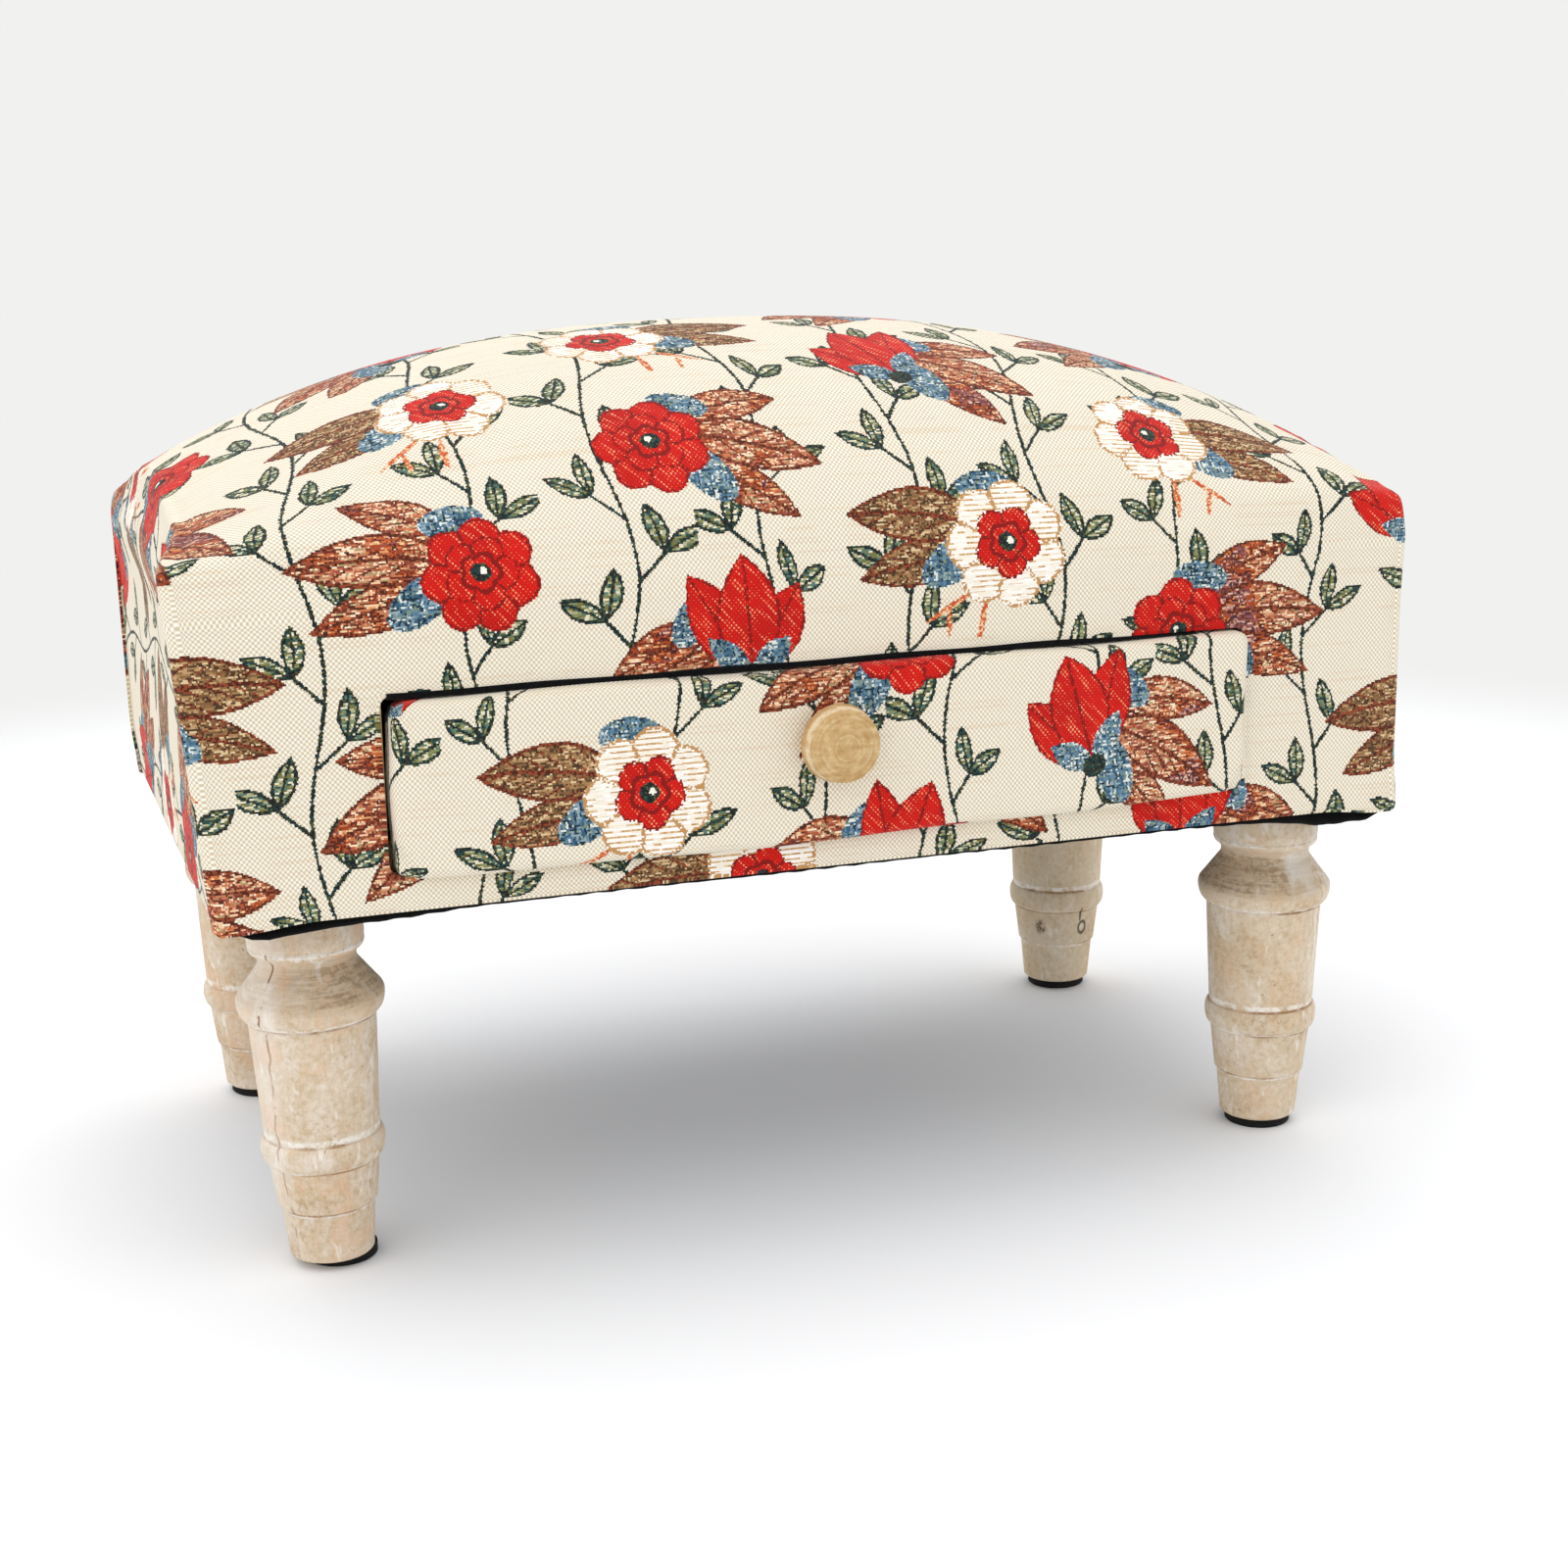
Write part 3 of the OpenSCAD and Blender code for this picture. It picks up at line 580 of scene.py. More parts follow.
def raw_board():
    f = Finish("raw_board", roughness=0.8, specular=0.25)
    grain = f.noise(f.place(), (0.06, 0.004, 0.004), detail=5.0, roughness=0.6)
    pores = f.noise(f.place(), (0.012, 0.0009, 0.0009))
    f.paint = f.ramp(grain, [(0.3, "#A9835A"), (0.5, "#C6A577"), (0.7, "#D9BE95")])
    f.lay(f.fit(pores, 0.6, 0.75) * 0.4, "#8F6A44")
    f.bump(pores * 0.5 + grain * 0.5, 0.3 * MM, 0.6)
    return f.colour(f.paint)


def drawer_ply():
    f = Finish("drawer_ply", roughness=0.78, specular=0.25)
    grain = f.noise(f.place(), (0.1, 0.012, 0.006), detail=5.0, roughness=0.62, distortion=0.4)
    pores = f.noise(f.place(), (0.016, 0.0012, 0.0009))
    f.paint = f.ramp(grain, [(0.28, "#C9A878"), (0.5, "#DFC59B"), (0.74, "#EBD8B4")])
    f.lay(f.fit(pores, 0.6, 0.75) * 0.35, "#B08A5C")
    f.bump(pores * 0.6 + grain * 0.4, 0.25 * MM, 0.5)
    return f.colour(f.paint)


def black_rubber():
    f = Finish("black_rubber", roughness=0.75, specular=0.25)
    speck = f.noise(f.place(), scale=900.0)
    f.bump(speck, 0.15 * MM, 0.6)
    return f.colour(f.ramp(speck, [(0.35, "#080707"), (0.7, "#161413")]))


def zinc_steel():
    f = Finish("zinc_steel", roughness=0.35, Metallic=1.0)
    bloom = f.noise(f.place(), scale=160.0, detail=4.0)
    f.plug(f.shader.inputs["Roughness"], f.fit(bloom, 0.3, 0.7, 0.25, 0.48))
    f.bump(f.noise(f.place(), scale=700.0), 0.08 * MM, 0.5)
    return f.colour(f.ramp(bloom, [(0.3, "#A7A9A6"), (0.6, "#C9CBC9"), (0.8, "#BFB79C")]))


def black_lining_cloth():
    f = Finish("black_lining", roughness=0.95, specular=0.1, Sheen_Weight=0.08)
    felt = f.noise(f.place(), scale=1400.0, detail=3.0)
    dimple = f.noise(f.place(), scale=520.0, detail=1.0)
    f.bump(felt * 0.6 + dimple * 0.4, 0.2 * MM, 0.8)
    return f.colour(f.ramp(felt, [(0.35, "#050506"), (0.7, "#121215")]))


def cut_foam():
    f = Finish("cut_foam", roughness=1.0, specular=0.1)
    pits = f.node("ShaderNodeTexVoronoi", None, {"Vector": f.place(), "Scale": 900.0}, "Distance")
    f.bump(pits, 0.4 * MM, 0.8)
    return f.colour(f.ramp(pits, [(0.1, "#C9B98C"), (0.6, "#F1E6C6")]))


# The cover's mesh: its pitch, its steps over the arch and the foam's, what still counts as the same
# place and what is welded. Then the slot's low and high corner (x, z), and the cloth's length up
# a wall and over the arch.
CLOTH_PITCH = 6 * MM
ARCH_STEP = math.radians(3.75)
FOAM_STEP = math.radians(7.5)
SLACK = 0.1 * MM
WELD = 0.02 * MM
SLOT_LOW = (RAIL_LOW.x, BASE_HIGH.z)
SLOT_HIGH = (RAIL_HIGH.x, RAIL_LOW.z)
WALL_RUN = SHOULDER_Z - BOTTOM_Z
ARCH_RUN = 292 * MM

# The crown: how far its ends rise, how it falls to the left (-1) and right (1), where its section
# begins to change to the stepped one of the ends, that step's share of the rise, how much the
# simulation still lifts it, and how far the foam stays inside it
END_RISE = 33 * MM
CROWN_POWER = {-1: 2.5, 1: 2.3}
END_FROM = 110 * MM
END_STEP = 0.44
SETTLE = 0.8 * MM
FOAM_GAP = 3 * MM

# The ends: where they begin to stand out, in height and length, and by how many millimetres. At
# the left, the middle and what falls off to the back, and what the back has more and loses at its
# foot; at the right, the wall, its foot and its upper part.
FLARE_FROM = 140 * MM
FLARE_TOP = 226 * MM
RIM_Z = 219 * MM
LEFT_FLARE = (4.8, 3.8, 3.0, 1.5)
RIGHT_FLARE = (-0.2, 1.7, 1.0)
END_BELLY = 3.5 * MM
CORNER_R = 3 * MM
EDGE_R = 3 * MM
END_ANGLES = (0, 22.5, 45, 67.5, 84, 90)
CAP_ROWS = 3  # rows of the arch that an end's upright edges take in

# The cloth's folds: the tucks at the upright corners at each end, the droop of the bottom edge
# towards the corners, and the hem under the base board
TUCK_DEPTH = {-1: 1.3 * MM, 1: 0.5 * MM}
TUCK_UNDER = 1.6 * MM
TUCK_LOW = SHOULDER_Z - 16 * MM
DROOP = 2.3 * MM
DROOP_LENGTH = 30 * MM
HEM_WIDTH = 11 * MM
HEM_FOLD = 0.6 * MM
# How the cloth turns in round the slot: inset and depth of each move
SLOT_TURNS = ((0.15 * MM, 0.25 * MM), (0.25 * MM, 1.2 * MM), (0.25 * MM, 5 * MM))


def spread(low, high, pitch=CLOTH_PITCH):
    """Evenly spaced values from low to high, about a pitch apart."""
    count = max(1, round(abs(high - low) / pitch))
    return [low + (high - low) * i / count for i in range(count + 1)]


def spread_through(*marks):
    """Evenly spaced values through a row of marks, with every mark among them."""
    made = [marks[0]]
    for low, high in zip(marks, marks[1:]):
        made += spread(low, high)[1:]
    return made


def share_of(value, low, high):
    """How far a value has come from low to high, from 0 to 1."""
    return min(1.0, max(0.0, (value - low) / (high - low)))


def smooth(value, low, high):
    share = share_of(value, low, high)
    return share * share * (3 - 2 * share)


def crown_rise(x):
    share = min(1.0, abs(x) / HALF_X)
    full = TOP_Z - SETTLE - SHOULDER_Z
    return full - (full - END_RISE) * share ** CROWN_POWER[1 if x > 0 else -1]


def arch_height(x, angle):
    """Height of the cross section as a share of its rise: half an ellipse in the middle of the
    stool, and a low step with a flat slope above it at the ends."""
    across, up = abs(math.cos(angle)), math.sin(angle)
    stepped = END_STEP * smooth(up, 0, 0.3) + (1 - END_STEP) * (1 - across ** 1.6)
    return up + (stepped - up) * smooth(abs(x), END_FROM, HALF_X)


def end_flare(x, y, z):
    """How far the cloth stands out past the box at an end: the foam pushes it out, most at
    the front left corner and in the middle of the right end."""
    lift = share_of(z, BOTTOM_Z, FLARE_TOP)
    share = share_of(abs(x), FLARE_FROM, HALF_X)
    depth = (y - MID_Y) / HALF_Y
    foot = 1 - smooth(z, BOTTOM_Z, BOTTOM_Z + 20 * MM)
    rim = 1 - smooth(z, RIM_Z, RIM_Z + 15 * MM) * smooth(depth, -1, -0.66)
    if x < 0:
        middle, skew, back, foot_less = LEFT_FLARE
        out = lift * (middle - skew * depth) + (back - foot_less * foot) * (1 + depth) / 2
        return -out * rim * MM * share
    wall, foot_more, upper = RIGHT_FLARE
    high = smooth(z, SHOULDER_Z - 22 * MM, FLARE_TOP - 4 * MM)
    return (wall + foot_more * foot + upper * high * rim) * MM * share


def end_belly(z, top_z):
    """How full the foam makes an end at a height, from 0 to 1, below its upper rim."""
    return smooth(z, DECK_LOW.z, DECK_LOW.z + 16 * MM) * (1 - smooth(z, min(RIM_Z, top_z - 8 * MM), top_z))


def corner_droop(x, z):
    """How far the doubled cloth at a corner hangs below the straight bottom edge. The corner
    itself is rounded."""
    hanging = smooth(abs(x), HALF_X - DROOP_LENGTH, HALF_X - 5 * MM)
    rounded = 0.4 * smooth(abs(x), HALF_X - 3 * MM, HALF_X)
    return DROOP * (hanging - rounded) * (1 - smooth(z, BOTTOM_Z, BOTTOM_Z + 14 * MM))


def profile_rows():
    """Rows of the cover's cross section, from the front's bottom edge over to the back's:
    (part, value), where a wall's value is a height and the arch's an angle."""
    front = spread_through(BOTTOM_Z, SLOT_LOW[1], SLOT_HIGH[1], SHOULDER_Z)
    arch = spread(math.pi, 0, ARCH_STEP)[1:-1]
    back = spread(SHOULDER_Z, BOTTOM_Z)
    return [("front", z) for z in front] + [("arch", a) for a in arch] + [("back", z) for z in back]


def cloth_v(rows, line):
    """Distances over the cloth from the front's bottom edge, for a section's rows and points.
    The cloth is as long over the arch everywhere, and gives way evenly along it."""
    first = next(i for i, row in enumerate(rows) if row[0] == "arch")
    last = next(i for i, row in enumerate(rows) if row[0] == "back")
    steps = [(b - a).length for a, b in zip(line[first - 1:last], line[first:last + 1])]
    run = np.cumsum(steps) * ARCH_RUN / sum(steps)
    arch = [WALL_RUN + r for r in run[:-1]]
    return ([value - BOTTOM_Z for _, value in rows[:first]] + arch
            + [WALL_RUN + ARCH_RUN + SHOULDER_Z - value for _, value in rows[last:]])


def cover_point(x, part, value, shrink=0.0):
    """A point of the cover. shrink is 0 on the main stretch and grows to 1 round an end."""
    half_y = HALF_Y - shrink * CORNER_R
    rise = crown_rise(x) - shrink * EDGE_R
    if part == "arch":
        y = half_y * math.cos(value)
        z = SHOULDER_Z + rise * arch_height(x, value)
    else:
        y = -half_y if part == "front" else half_y
        z = value - corner_droop(x, value)
    return Vector((x, y + MID_Y, z))


def flared(point):
    return Vector((point.x + end_flare(point.x, point.y, point.z), point.y, point.z))


def in_scene(name, data):
    """Puts a mesh, a lamp or a camera into the scene."""
    made = bpy.data.objects.new(name, data)
    bpy.context.scene.collection.objects.link(made)
    return made


class Skin:
    """Gathers quads with their place on the cloth in millimetres, and makes one mesh of them."""

    def __init__(self, name):
        self.name = name
        self.points = []
        self.faces = []
        self.places = []

    def grid(self, points, places=None, flip=False):
        rows, columns = len(points), len(points[0])
        places = places or [[(0, 0)] * columns] * rows
        first = len(self.points)
        for row in points:
            self.points += [tuple(p) for p in row]
        for i in range(rows - 1):
            for j in range(columns - 1):
                corner = [(i, j), (i, j + 1), (i + 1, j + 1), (i + 1, j)]
                if flip:
                    corner.reverse()
                self.faces.append([first + a * columns + b for a, b in corner])
                self.places.append([places[a][b] for a, b in corner])

    def build(self):
        mesh = bpy.data.meshes.new(self.name)
        mesh.from_pydata(self.points, [], self.faces)
        layer = mesh.uv_layers.new(name=CLOTH_UV)
        layer.data.foreach_set("uv", [c for face in self.places for place in face for c in place])
        bm = bmesh.new()
        bm.from_mesh(mesh)
        bmesh.ops.remove_doubles(bm, verts=bm.verts, dist=WELD)
        bmesh.ops.recalc_face_normals(bm, faces=bm.faces)
        bm.to_mesh(mesh)
        bm.free()
        mesh.polygons.foreach_set("use_smooth", [True] * len(mesh.polygons))
        return in_scene(self.name, mesh)


def end_cap(rim, rim_places, side, turn_row):
    """The cloth over an end, spanned between its upright edges and the arch above them: rows
    of points from the bottom up, and their places on the cloth."""
    last = len(rim) - 1
    left, right = rim[:turn_row + 1], rim[last - turn_row:][::-1]
    top = rim[turn_row:last - turn_row + 1]
    shares = [(p.y - top[0].y) / (top[-1].y - top[0].y) for p in top]
    bottom = [left[0].lerp(right[0], a) for a in shares]
    cap, places = [], []
    for first, second in zip(left, right):
        b = (first.z - left[0].z) / (left[-1].z - left[0].z)
        line, line_places = [], []
        for a, low, high, (u, v) in zip(shares, bottom, top, rim_places[turn_row:]):
            p = (low * (1 - b) + high * b + first * (1 - a) + second * a
                 - (left[0] * (1 - a) * (1 - b) + right[0] * a * (1 - b)
                    + left[-1] * (1 - a) * b + right[-1] * a * b))
            p.x += side * END_BELLY * end_belly(p.z, high.z) * math.sqrt(max(0.0, 4 * a * (1 - a)))
            line.append(p)
            line_places.append((u + side * (high.z - p.z) / MM, v))
        cap.append(line)
        places.append(line_places)
    return cap, places


def cover_skin():
    """The whole cover as one skin: a long strip from front to back over the crown, and a
    cap on each end, tucked in under the strip's edge at the upright corners."""
    skin = Skin("cover_cloth")
    rows = profile_rows()
    core = spread_through(-HALF_X + EDGE_R, SLOT_LOW[0], SLOT_HIGH[0], HALF_X - EDGE_R)
    stations = ([(-1, a) for a in reversed(END_ANGLES[1:])] + [(0, x) for x in core]
                + [(1, a) for a in END_ANGLES[1:]])

    def station_point(station, row):
        side, value = station
        if side == 0:
            return flared(cover_point(value, *row))
        angle = math.radians(value)
        x = side * (HALF_X - EDGE_R * (1 - math.sin(angle)))
        return flared(cover_point(x, *row, 1 - math.cos(angle)))

    def station_u(station):
        side, value = station
        if side:
            value = side * (HALF_X + EDGE_R * (math.radians(value) - 1))
        return value / MM

    def tucked(point, row, side):
        """The same point under the strip's edge, for the rows of the two walls."""
        part, value = row
        if part == "arch":
            return point
        depth = 1 - smooth(value, TUCK_LOW, SHOULDER_Z - 2 * MM)
        outward = -1 if part == "front" else 1
        return point + Vector((-side * TUCK_DEPTH[side] * depth, outward * TUCK_UNDER * depth, 0))

    points = [[station_point(s, r) for r in rows] for s in stations]
    places = [[(station_u(s), v / MM) for v in cloth_v(rows, line)]
              for s, line in zip(stations, points)]
    skin.grid(points, places, flip=True)

    turn_row = next(i for i, r in enumerate(rows) if r[0] == "arch") + CAP_ROWS
    for side, station in ((-1, 0), (1, -1)):
        edge, edge_places = points[station], places[station]
        rim = [tucked(p, r, side) for p, r in zip(edge, rows)]
        skin.grid([edge, rim], [edge_places] * 2, flip=side > 0)
        skin.grid(*end_cap(rim, edge_places, side, turn_row), flip=side < 0)
    return skin.build()


def cut_slot(piece):
    """Takes the drawer's slot out of the cover."""
    bm = bmesh.new()
    bm.from_mesh(piece.data)
    inside = []
    for face in bm.faces:
        at = face.calc_center_median()
        if (at.y < MID_Y - HALF_Y + SLACK and SLOT_LOW[0] < at.x < SLOT_HIGH[0]
                and SLOT_LOW[1] < at.z < SLOT_HIGH[1]):
            inside.append(face)
    bmesh.ops.delete(bm, geom=inside, context="FACES")
    bm.to_mesh(piece.data)
    bm.free()


def turn_in(piece, chooses, moves):
    """Carries the open edges that `chooses` picks on through a list of moves, each a function
    from a point of the edge to a point of the turned cloth."""
    bm = bmesh.new()
    bm.from_mesh(piece.data)
    layer = bm.loops.layers.uv[CLOTH_UV]
    edges = [e for e in bm.edges if e.is_boundary and all(chooses(v.co) for v in e.verts)]
    start = {v: v.co.copy() for e in edges for v in e.verts}
    for move in moves:
        made = bmesh.ops.extrude_edge_only(bm, edges=edges)["geom"]
        edges = [g for g in made if isinstance(g, bmesh.types.BMEdge) and g.is_boundary
                 and all(v in made for v in g.verts)]
        fresh = {}
        for vert in {v for e in edges for v in e.verts}:
            parent = next(e.other_vert(vert) for e in vert.link_edges if e.other_vert(vert) in start)
            fresh[vert] = start[parent]
            vert.co = move(start[parent])
        for face in {face for e in edges for face in e.link_faces}:
            face.smooth = True
            for loop in face.loops:
                co = loop.vert.co
                loop[layer].uv = (co.x / MM, (co.z - BOTTOM_Z + (co.y - MID_Y + HALF_Y)) / MM)
        start = fresh
    bm.to_mesh(piece.data)
    bm.free()


def turn_in_cover(piece):
    """The cloth's edges round the slot go in over the boards, and the bottom edge is
    folded under the base board."""
    middle = [(low + high) / 2 for low, high in zip(SLOT_LOW, SLOT_HIGH)]
    half = [(high - low) / 2 for low, high in zip(SLOT_LOW, SLOT_HIGH)]

    def slot_move(inset, depth):
        def nearer(value, axis):
            away = value - middle[axis]
            on_edge = abs(abs(away) - half[axis]) < SLACK
            return value - math.copysign(inset, away) if on_edge else value

        return lambda co: Vector((nearer(co.x, 0), co.y + depth, nearer(co.z, 1)))

    def hem_move(inset):
        return lambda co: Vector((co.x * (1 - inset / HALF_X),
                                  MID_Y + (co.y - MID_Y) * (1 - inset / HALF_Y),
                                  co.z if inset < MM else BOTTOM_Z))

    turn_in(piece, lambda co: co.y < MID_Y - HALF_Y + SLACK and co.z > SLOT_LOW[1] - MM,
            [slot_move(*turn) for turn in SLOT_TURNS])
    turn_in(piece, lambda co: co.z < BOTTOM_Z + SLACK, [hem_move(HEM_FOLD), hem_move(HEM_WIDTH)])


# The simulation: its quality, the foam's push, the cloth's give, its length in frames, and how far
# a point may move
QUALITY = 6
PRESSURE = 2.0
GIVE = -0.012
FRAMES = 16
MOVE_LIMIT = 1.2 * MM


def relax(piece, hold):
    """Lets a taut cloth settle over the foam's push in a short simulation. `hold` gives how
    firmly a point is held."""
    mesh = piece.data
    group = piece.vertex_groups.new(name="held")
    for vertex in mesh.vertices:
        group.add([vertex.index], hold(vertex.co), "REPLACE")
    modifier = piece.modifiers.new("relax", "CLOTH")
    cloth = modifier.settings
    cloth.quality = QUALITY
    cloth.vertex_group_mass = group.name
    cloth.use_pressure = True
    cloth.uniform_pressure_force = PRESSURE
    cloth.shrink_min = GIVE
    cloth.effector_weights.gravity = 0
    modifier.collision_settings.use_collision = False
    modifier.point_cache.frame_start = 1
    modifier.point_cache.frame_end = FRAMES
    scene = bpy.context.scene
    for number in range(1, FRAMES + 1):
        scene.frame_set(number)
    settled = piece.evaluated_get(bpy.context.evaluated_depsgraph_get()).data
    for vertex, other in zip(mesh.vertices, settled.vertices):
        move = other.co - vertex.co
        if move.length > MOVE_LIMIT:
            move *= MOVE_LIMIT / move.length
        vertex.co += move
    piece.modifiers.remove(modifier)
    piece.vertex_groups.remove(group)
    scene.frame_set(1)


def subdivide(piece, levels):
    """Subdivides a piece smoothly, for good."""
    modifier = piece.modifiers.new("smooth", "SUBSURF")
    modifier.levels = levels
    modifier.uv_smooth = "NONE"
    depsgraph = bpy.context.evaluated_depsgraph_get()
    finer = bpy.data.meshes.new_from_object(piece.evaluated_get(depsgraph), depsgraph=depsgraph)
    piece.modifiers.remove(modifier)
    old, piece.data = piece.data, finer
    bpy.data.meshes.remove(old)
    finer.name = piece.name


def press_lines(piece, lines):
    """Presses creases in or raises puckers: each line is its points, its height and its width."""
    mesh = piece.data
    count = len(mesh.vertices)
    points, normals = np.empty((2, count * 3))
    mesh.vertices.foreach_get("co", points)
    mesh.vertices.foreach_get("normal", normals)
    points, normals = points.reshape(-1, 3), normals.reshape(-1, 3)
    lift = np.zeros(count)
    for line, height, width in lines:
        near = np.full(count, 1.0)
        for a, b in zip(line, line[1:]):
            a, b = np.array(a) * MM, np.array(b) * MM
            span = b - a
            share = np.clip((points - a) @ span / (span @ span), 0, 1)
            near = np.minimum(near, np.linalg.norm(points - a - share[:, None] * span, axis=1))
        lift += height * MM * np.exp(-(near / (width * MM)) ** 2)
    points += normals * lift[:, None]
    mesh.vertices.foreach_set("co", points.ravel())
    mesh.update()


def give(piece, material, body="stool"):
    piece.data.materials.clear()
    piece.data.materials.append(material)
    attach(piece, body)
    return piece


# Creases and puckers of the cover in millimetres: points, height and width
COVER_LINES = [
    # the crease over the front left corner, and the mouth of its fold
    (((-199, -36, 239), (-199, -65, 235), (-201, -78, 232), (-205, -92, 229), (-208, -103, 226)), 0.5, 1.6),
    (((-196, -40, 240), (-195, -66, 236), (-197, -80, 233), (-201, -93, 229)), -0.6, 2.4),
    (((-208, -105, 222), (-200, -106, 221.5), (-190, -105.8, 222), (-178, -105, 224)), -0.9, 1.5),
    (((-205, -104.5, 226), (-196, -105, 225), (-184, -104, 227)), 0.5, 2.4),
    (((-206, -105.5, 214), (-200, -106, 212), (-192, -105.8, 214)), 0.5, 3.5),
    # puckers over the right end
    (((196, -70, 241), (203, -66, 222), (201, -64, 200)), -0.8, 3.0),
    (((188, -40, 252), (199, -38, 246), (204, -36, 228)), 0.8, 4.0),
    (((192, -88, 232), (199, -92, 222), (200, -95, 206)), -0.9, 3.0),
    (((176, -92, 232), (190, -97, 224), (197, -101, 214)), 0.7, 3.5),
    (((190, 10, 256), (202, 12, 246), (204, 12, 226)), -0.7, 4.0),
    (((192, 70, 246), (202, 76, 232), (201, 80, 212)), -0.8, 3.5),
    # puckers over the back of the left end
    (((-196, 30, 252), (-203, 32, 240), (-203, 34, 222)), -0.7, 4.0),
    (((-192, 92, 238), (-200, 100, 226), (-200, 106, 208)), -0.9, 3.0),
    # where the cloth is pulled over the shoulder to the drawer's slot
    (((-150, -104, 205), (-128, -105, 196), (-100, -105.5, 192)), -0.35, 4.0),
    (((150, -104, 206), (126, -105, 198), (96, -105.5, 193)), -0.35, 4.0),
]


def make_cover(cloth):
    piece = cover_skin()
    cut_slot(piece)

    def hold(co):
        """The walls are stapled down; the crown is free, less so near its ends."""
        free = smooth(co.z, SHOULDER_Z - 6 * MM, SHOULDER_Z + 14 * MM)
        return 1.0 - free * (0.35 + 0.65 * (1 - smooth(abs(co.x), 0.9 * HALF_X, HALF_X)))

    relax(piece, hold)
    turn_in_cover(piece)
    subdivide(piece, 2)
    press_lines(piece, COVER_LINES)
    give(piece, cloth)
    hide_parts("cover", "foam_pad")


def make_foam(material):
    """The block of foam on the deck board, just inside the cover's crown."""
    skin = Skin("foam_block")
    scale = (1 - FOAM_GAP / HALF_X, 1 - FOAM_GAP / HALF_Y)
    angles = spread(math.pi, 0, FOAM_STEP)
    rows = []
    for x in spread(-HALF_X, HALF_X, 2 * CLOTH_PITCH):
        points = [cover_point(x, "arch", angle) for angle in angles]
        line = [Vector((p.x * scale[0], MID_Y + (p.y - MID_Y) * scale[1],
                        max(DECK_HIGH.z, p.z - FOAM_GAP))) for p in points]
        low = [Vector((p.x, p.y, DECK_HIGH.z)) for p in line]
        rows.append(line + low[::-1] + line[:1])
    skin.grid(rows)
    count = len(angles)
    for row, flip in ((rows[0], True), (rows[-1], False)):
        skin.grid([row[:count], row[count:2 * count][::-1]], flip=flip)
    piece = give(skin.build(), material)


# The drawer front's cloth: the radii of its edges and of its corners (side, up), the folds at its
# lower corners (wide, tall, deep), its wave and fullness, how far its upper and lower edges hang,
# and where on the pattern it was cut
FRONT_EDGE_R = 2.6 * MM
FRONT_PITCH = 2 * MM
FRONT_CORNERS = {(-1, 1): 6.5 * MM, (1, 1): 3.2 * MM, (-1, -1): 3.0 * MM, (1, -1): 3.0 * MM}
FRONT_FOLD = (7.0 * MM, 13.0 * MM, 2.0 * MM)
FOLD_REACH = 8 * MM
FRONT_RIM = 9 * MM
FRONT_WAVE = 0.4 * MM
FRONT_FULL = 0.4 * MM
FRONT_HANG = (0.5 * MM, 2.2 * MM)
FRONT_PATTERN = (37.0, 263.0)


def front_edge(x, z):
    """Where a point of the drawer front's plain rectangle lies: its distance from the outline,
    the way out to the nearest edge, and the middle and radius of the corner that it is in."""
    low, high = FRONT_LOW, FRONT_HIGH
    for (i, k), radius in FRONT_CORNERS.items():
        middle = Vector((high.x - radius if i > 0 else low.x + radius,
                         high.z - radius if k > 0 else low.z + radius))
        away = Vector((x, z)) - middle
        if away.x * i > 0 and away.y * k > 0:
            return radius - max(abs(away.x), abs(away.y)), away.normalized(), middle, radius
    inset, way = min((x - low.x, (-1, 0)), (high.x - x, (1, 0)), (z - low.z, (0, -1)), (high.z - z, (0, 1)))
    return inset, Vector(way), None, 0


def soften_front(p):
    """Moves a point of the plain block that the drawer's front starts as: rounded corners and
    edges, a slightly wavy outline, and the cloth folded away at both lower corners."""
    x, y, z = p
    r = FRONT_EDGE_R
    inset, way, middle, radius = front_edge(x, z)
    depth = y - FRONT_LOW.y
    run = depth + r if depth > 0 else r - min(r, inset)
    new_inset = 0.0
    if run < 2 * r:
        angle = run / (2 * r) * math.pi / 2
        depth = r - r * math.cos(angle)
        new_inset = r - r * math.sin(angle) if inset < r else inset
    x, z = middle + way * (radius - new_inset) if middle else Vector((x, z)) + way * (inset - new_inset)
    wide, tall, deep = FRONT_FOLD
    for edge, sign in ((FRONT_LOW.x, 1), (FRONT_HIGH.x, -1)):
        share = (x - edge) * sign / wide + (z - FRONT_LOW.z) / tall
        if share < 1 and depth < FOLD_REACH:
            depth += deep * smooth((1 - share) * wide, 0, 1.6 * MM)
    rim = 1 - smooth(new_inset, 0, FRONT_RIM)
    x += FRONT_WAVE * rim * math.sin(z / MM / 7.0 + 1.0)
    z += FRONT_WAVE * rim * math.sin(x / MM / 17.0)
    along = share_of(x, FRONT_LOW.x, FRONT_HIGH.x)
    up = share_of(z, FRONT_LOW.z, FRONT_HIGH.z)
    top, bottom = FRONT_HANG
    hang = (top * up + bottom * (1 - up)) * math.sin(math.pi * along ** 0.7)
    z -= hang * (1 - smooth(depth, 3 * MM, 4.8 * MM))
    depth -= FRONT_FULL * (1 - rim) * (0.6 + 0.4 * math.sin(x / MM / 31.0))
    return Vector((x, min(FRONT_LOW.y + depth, FRONT_HIGH.y), z))


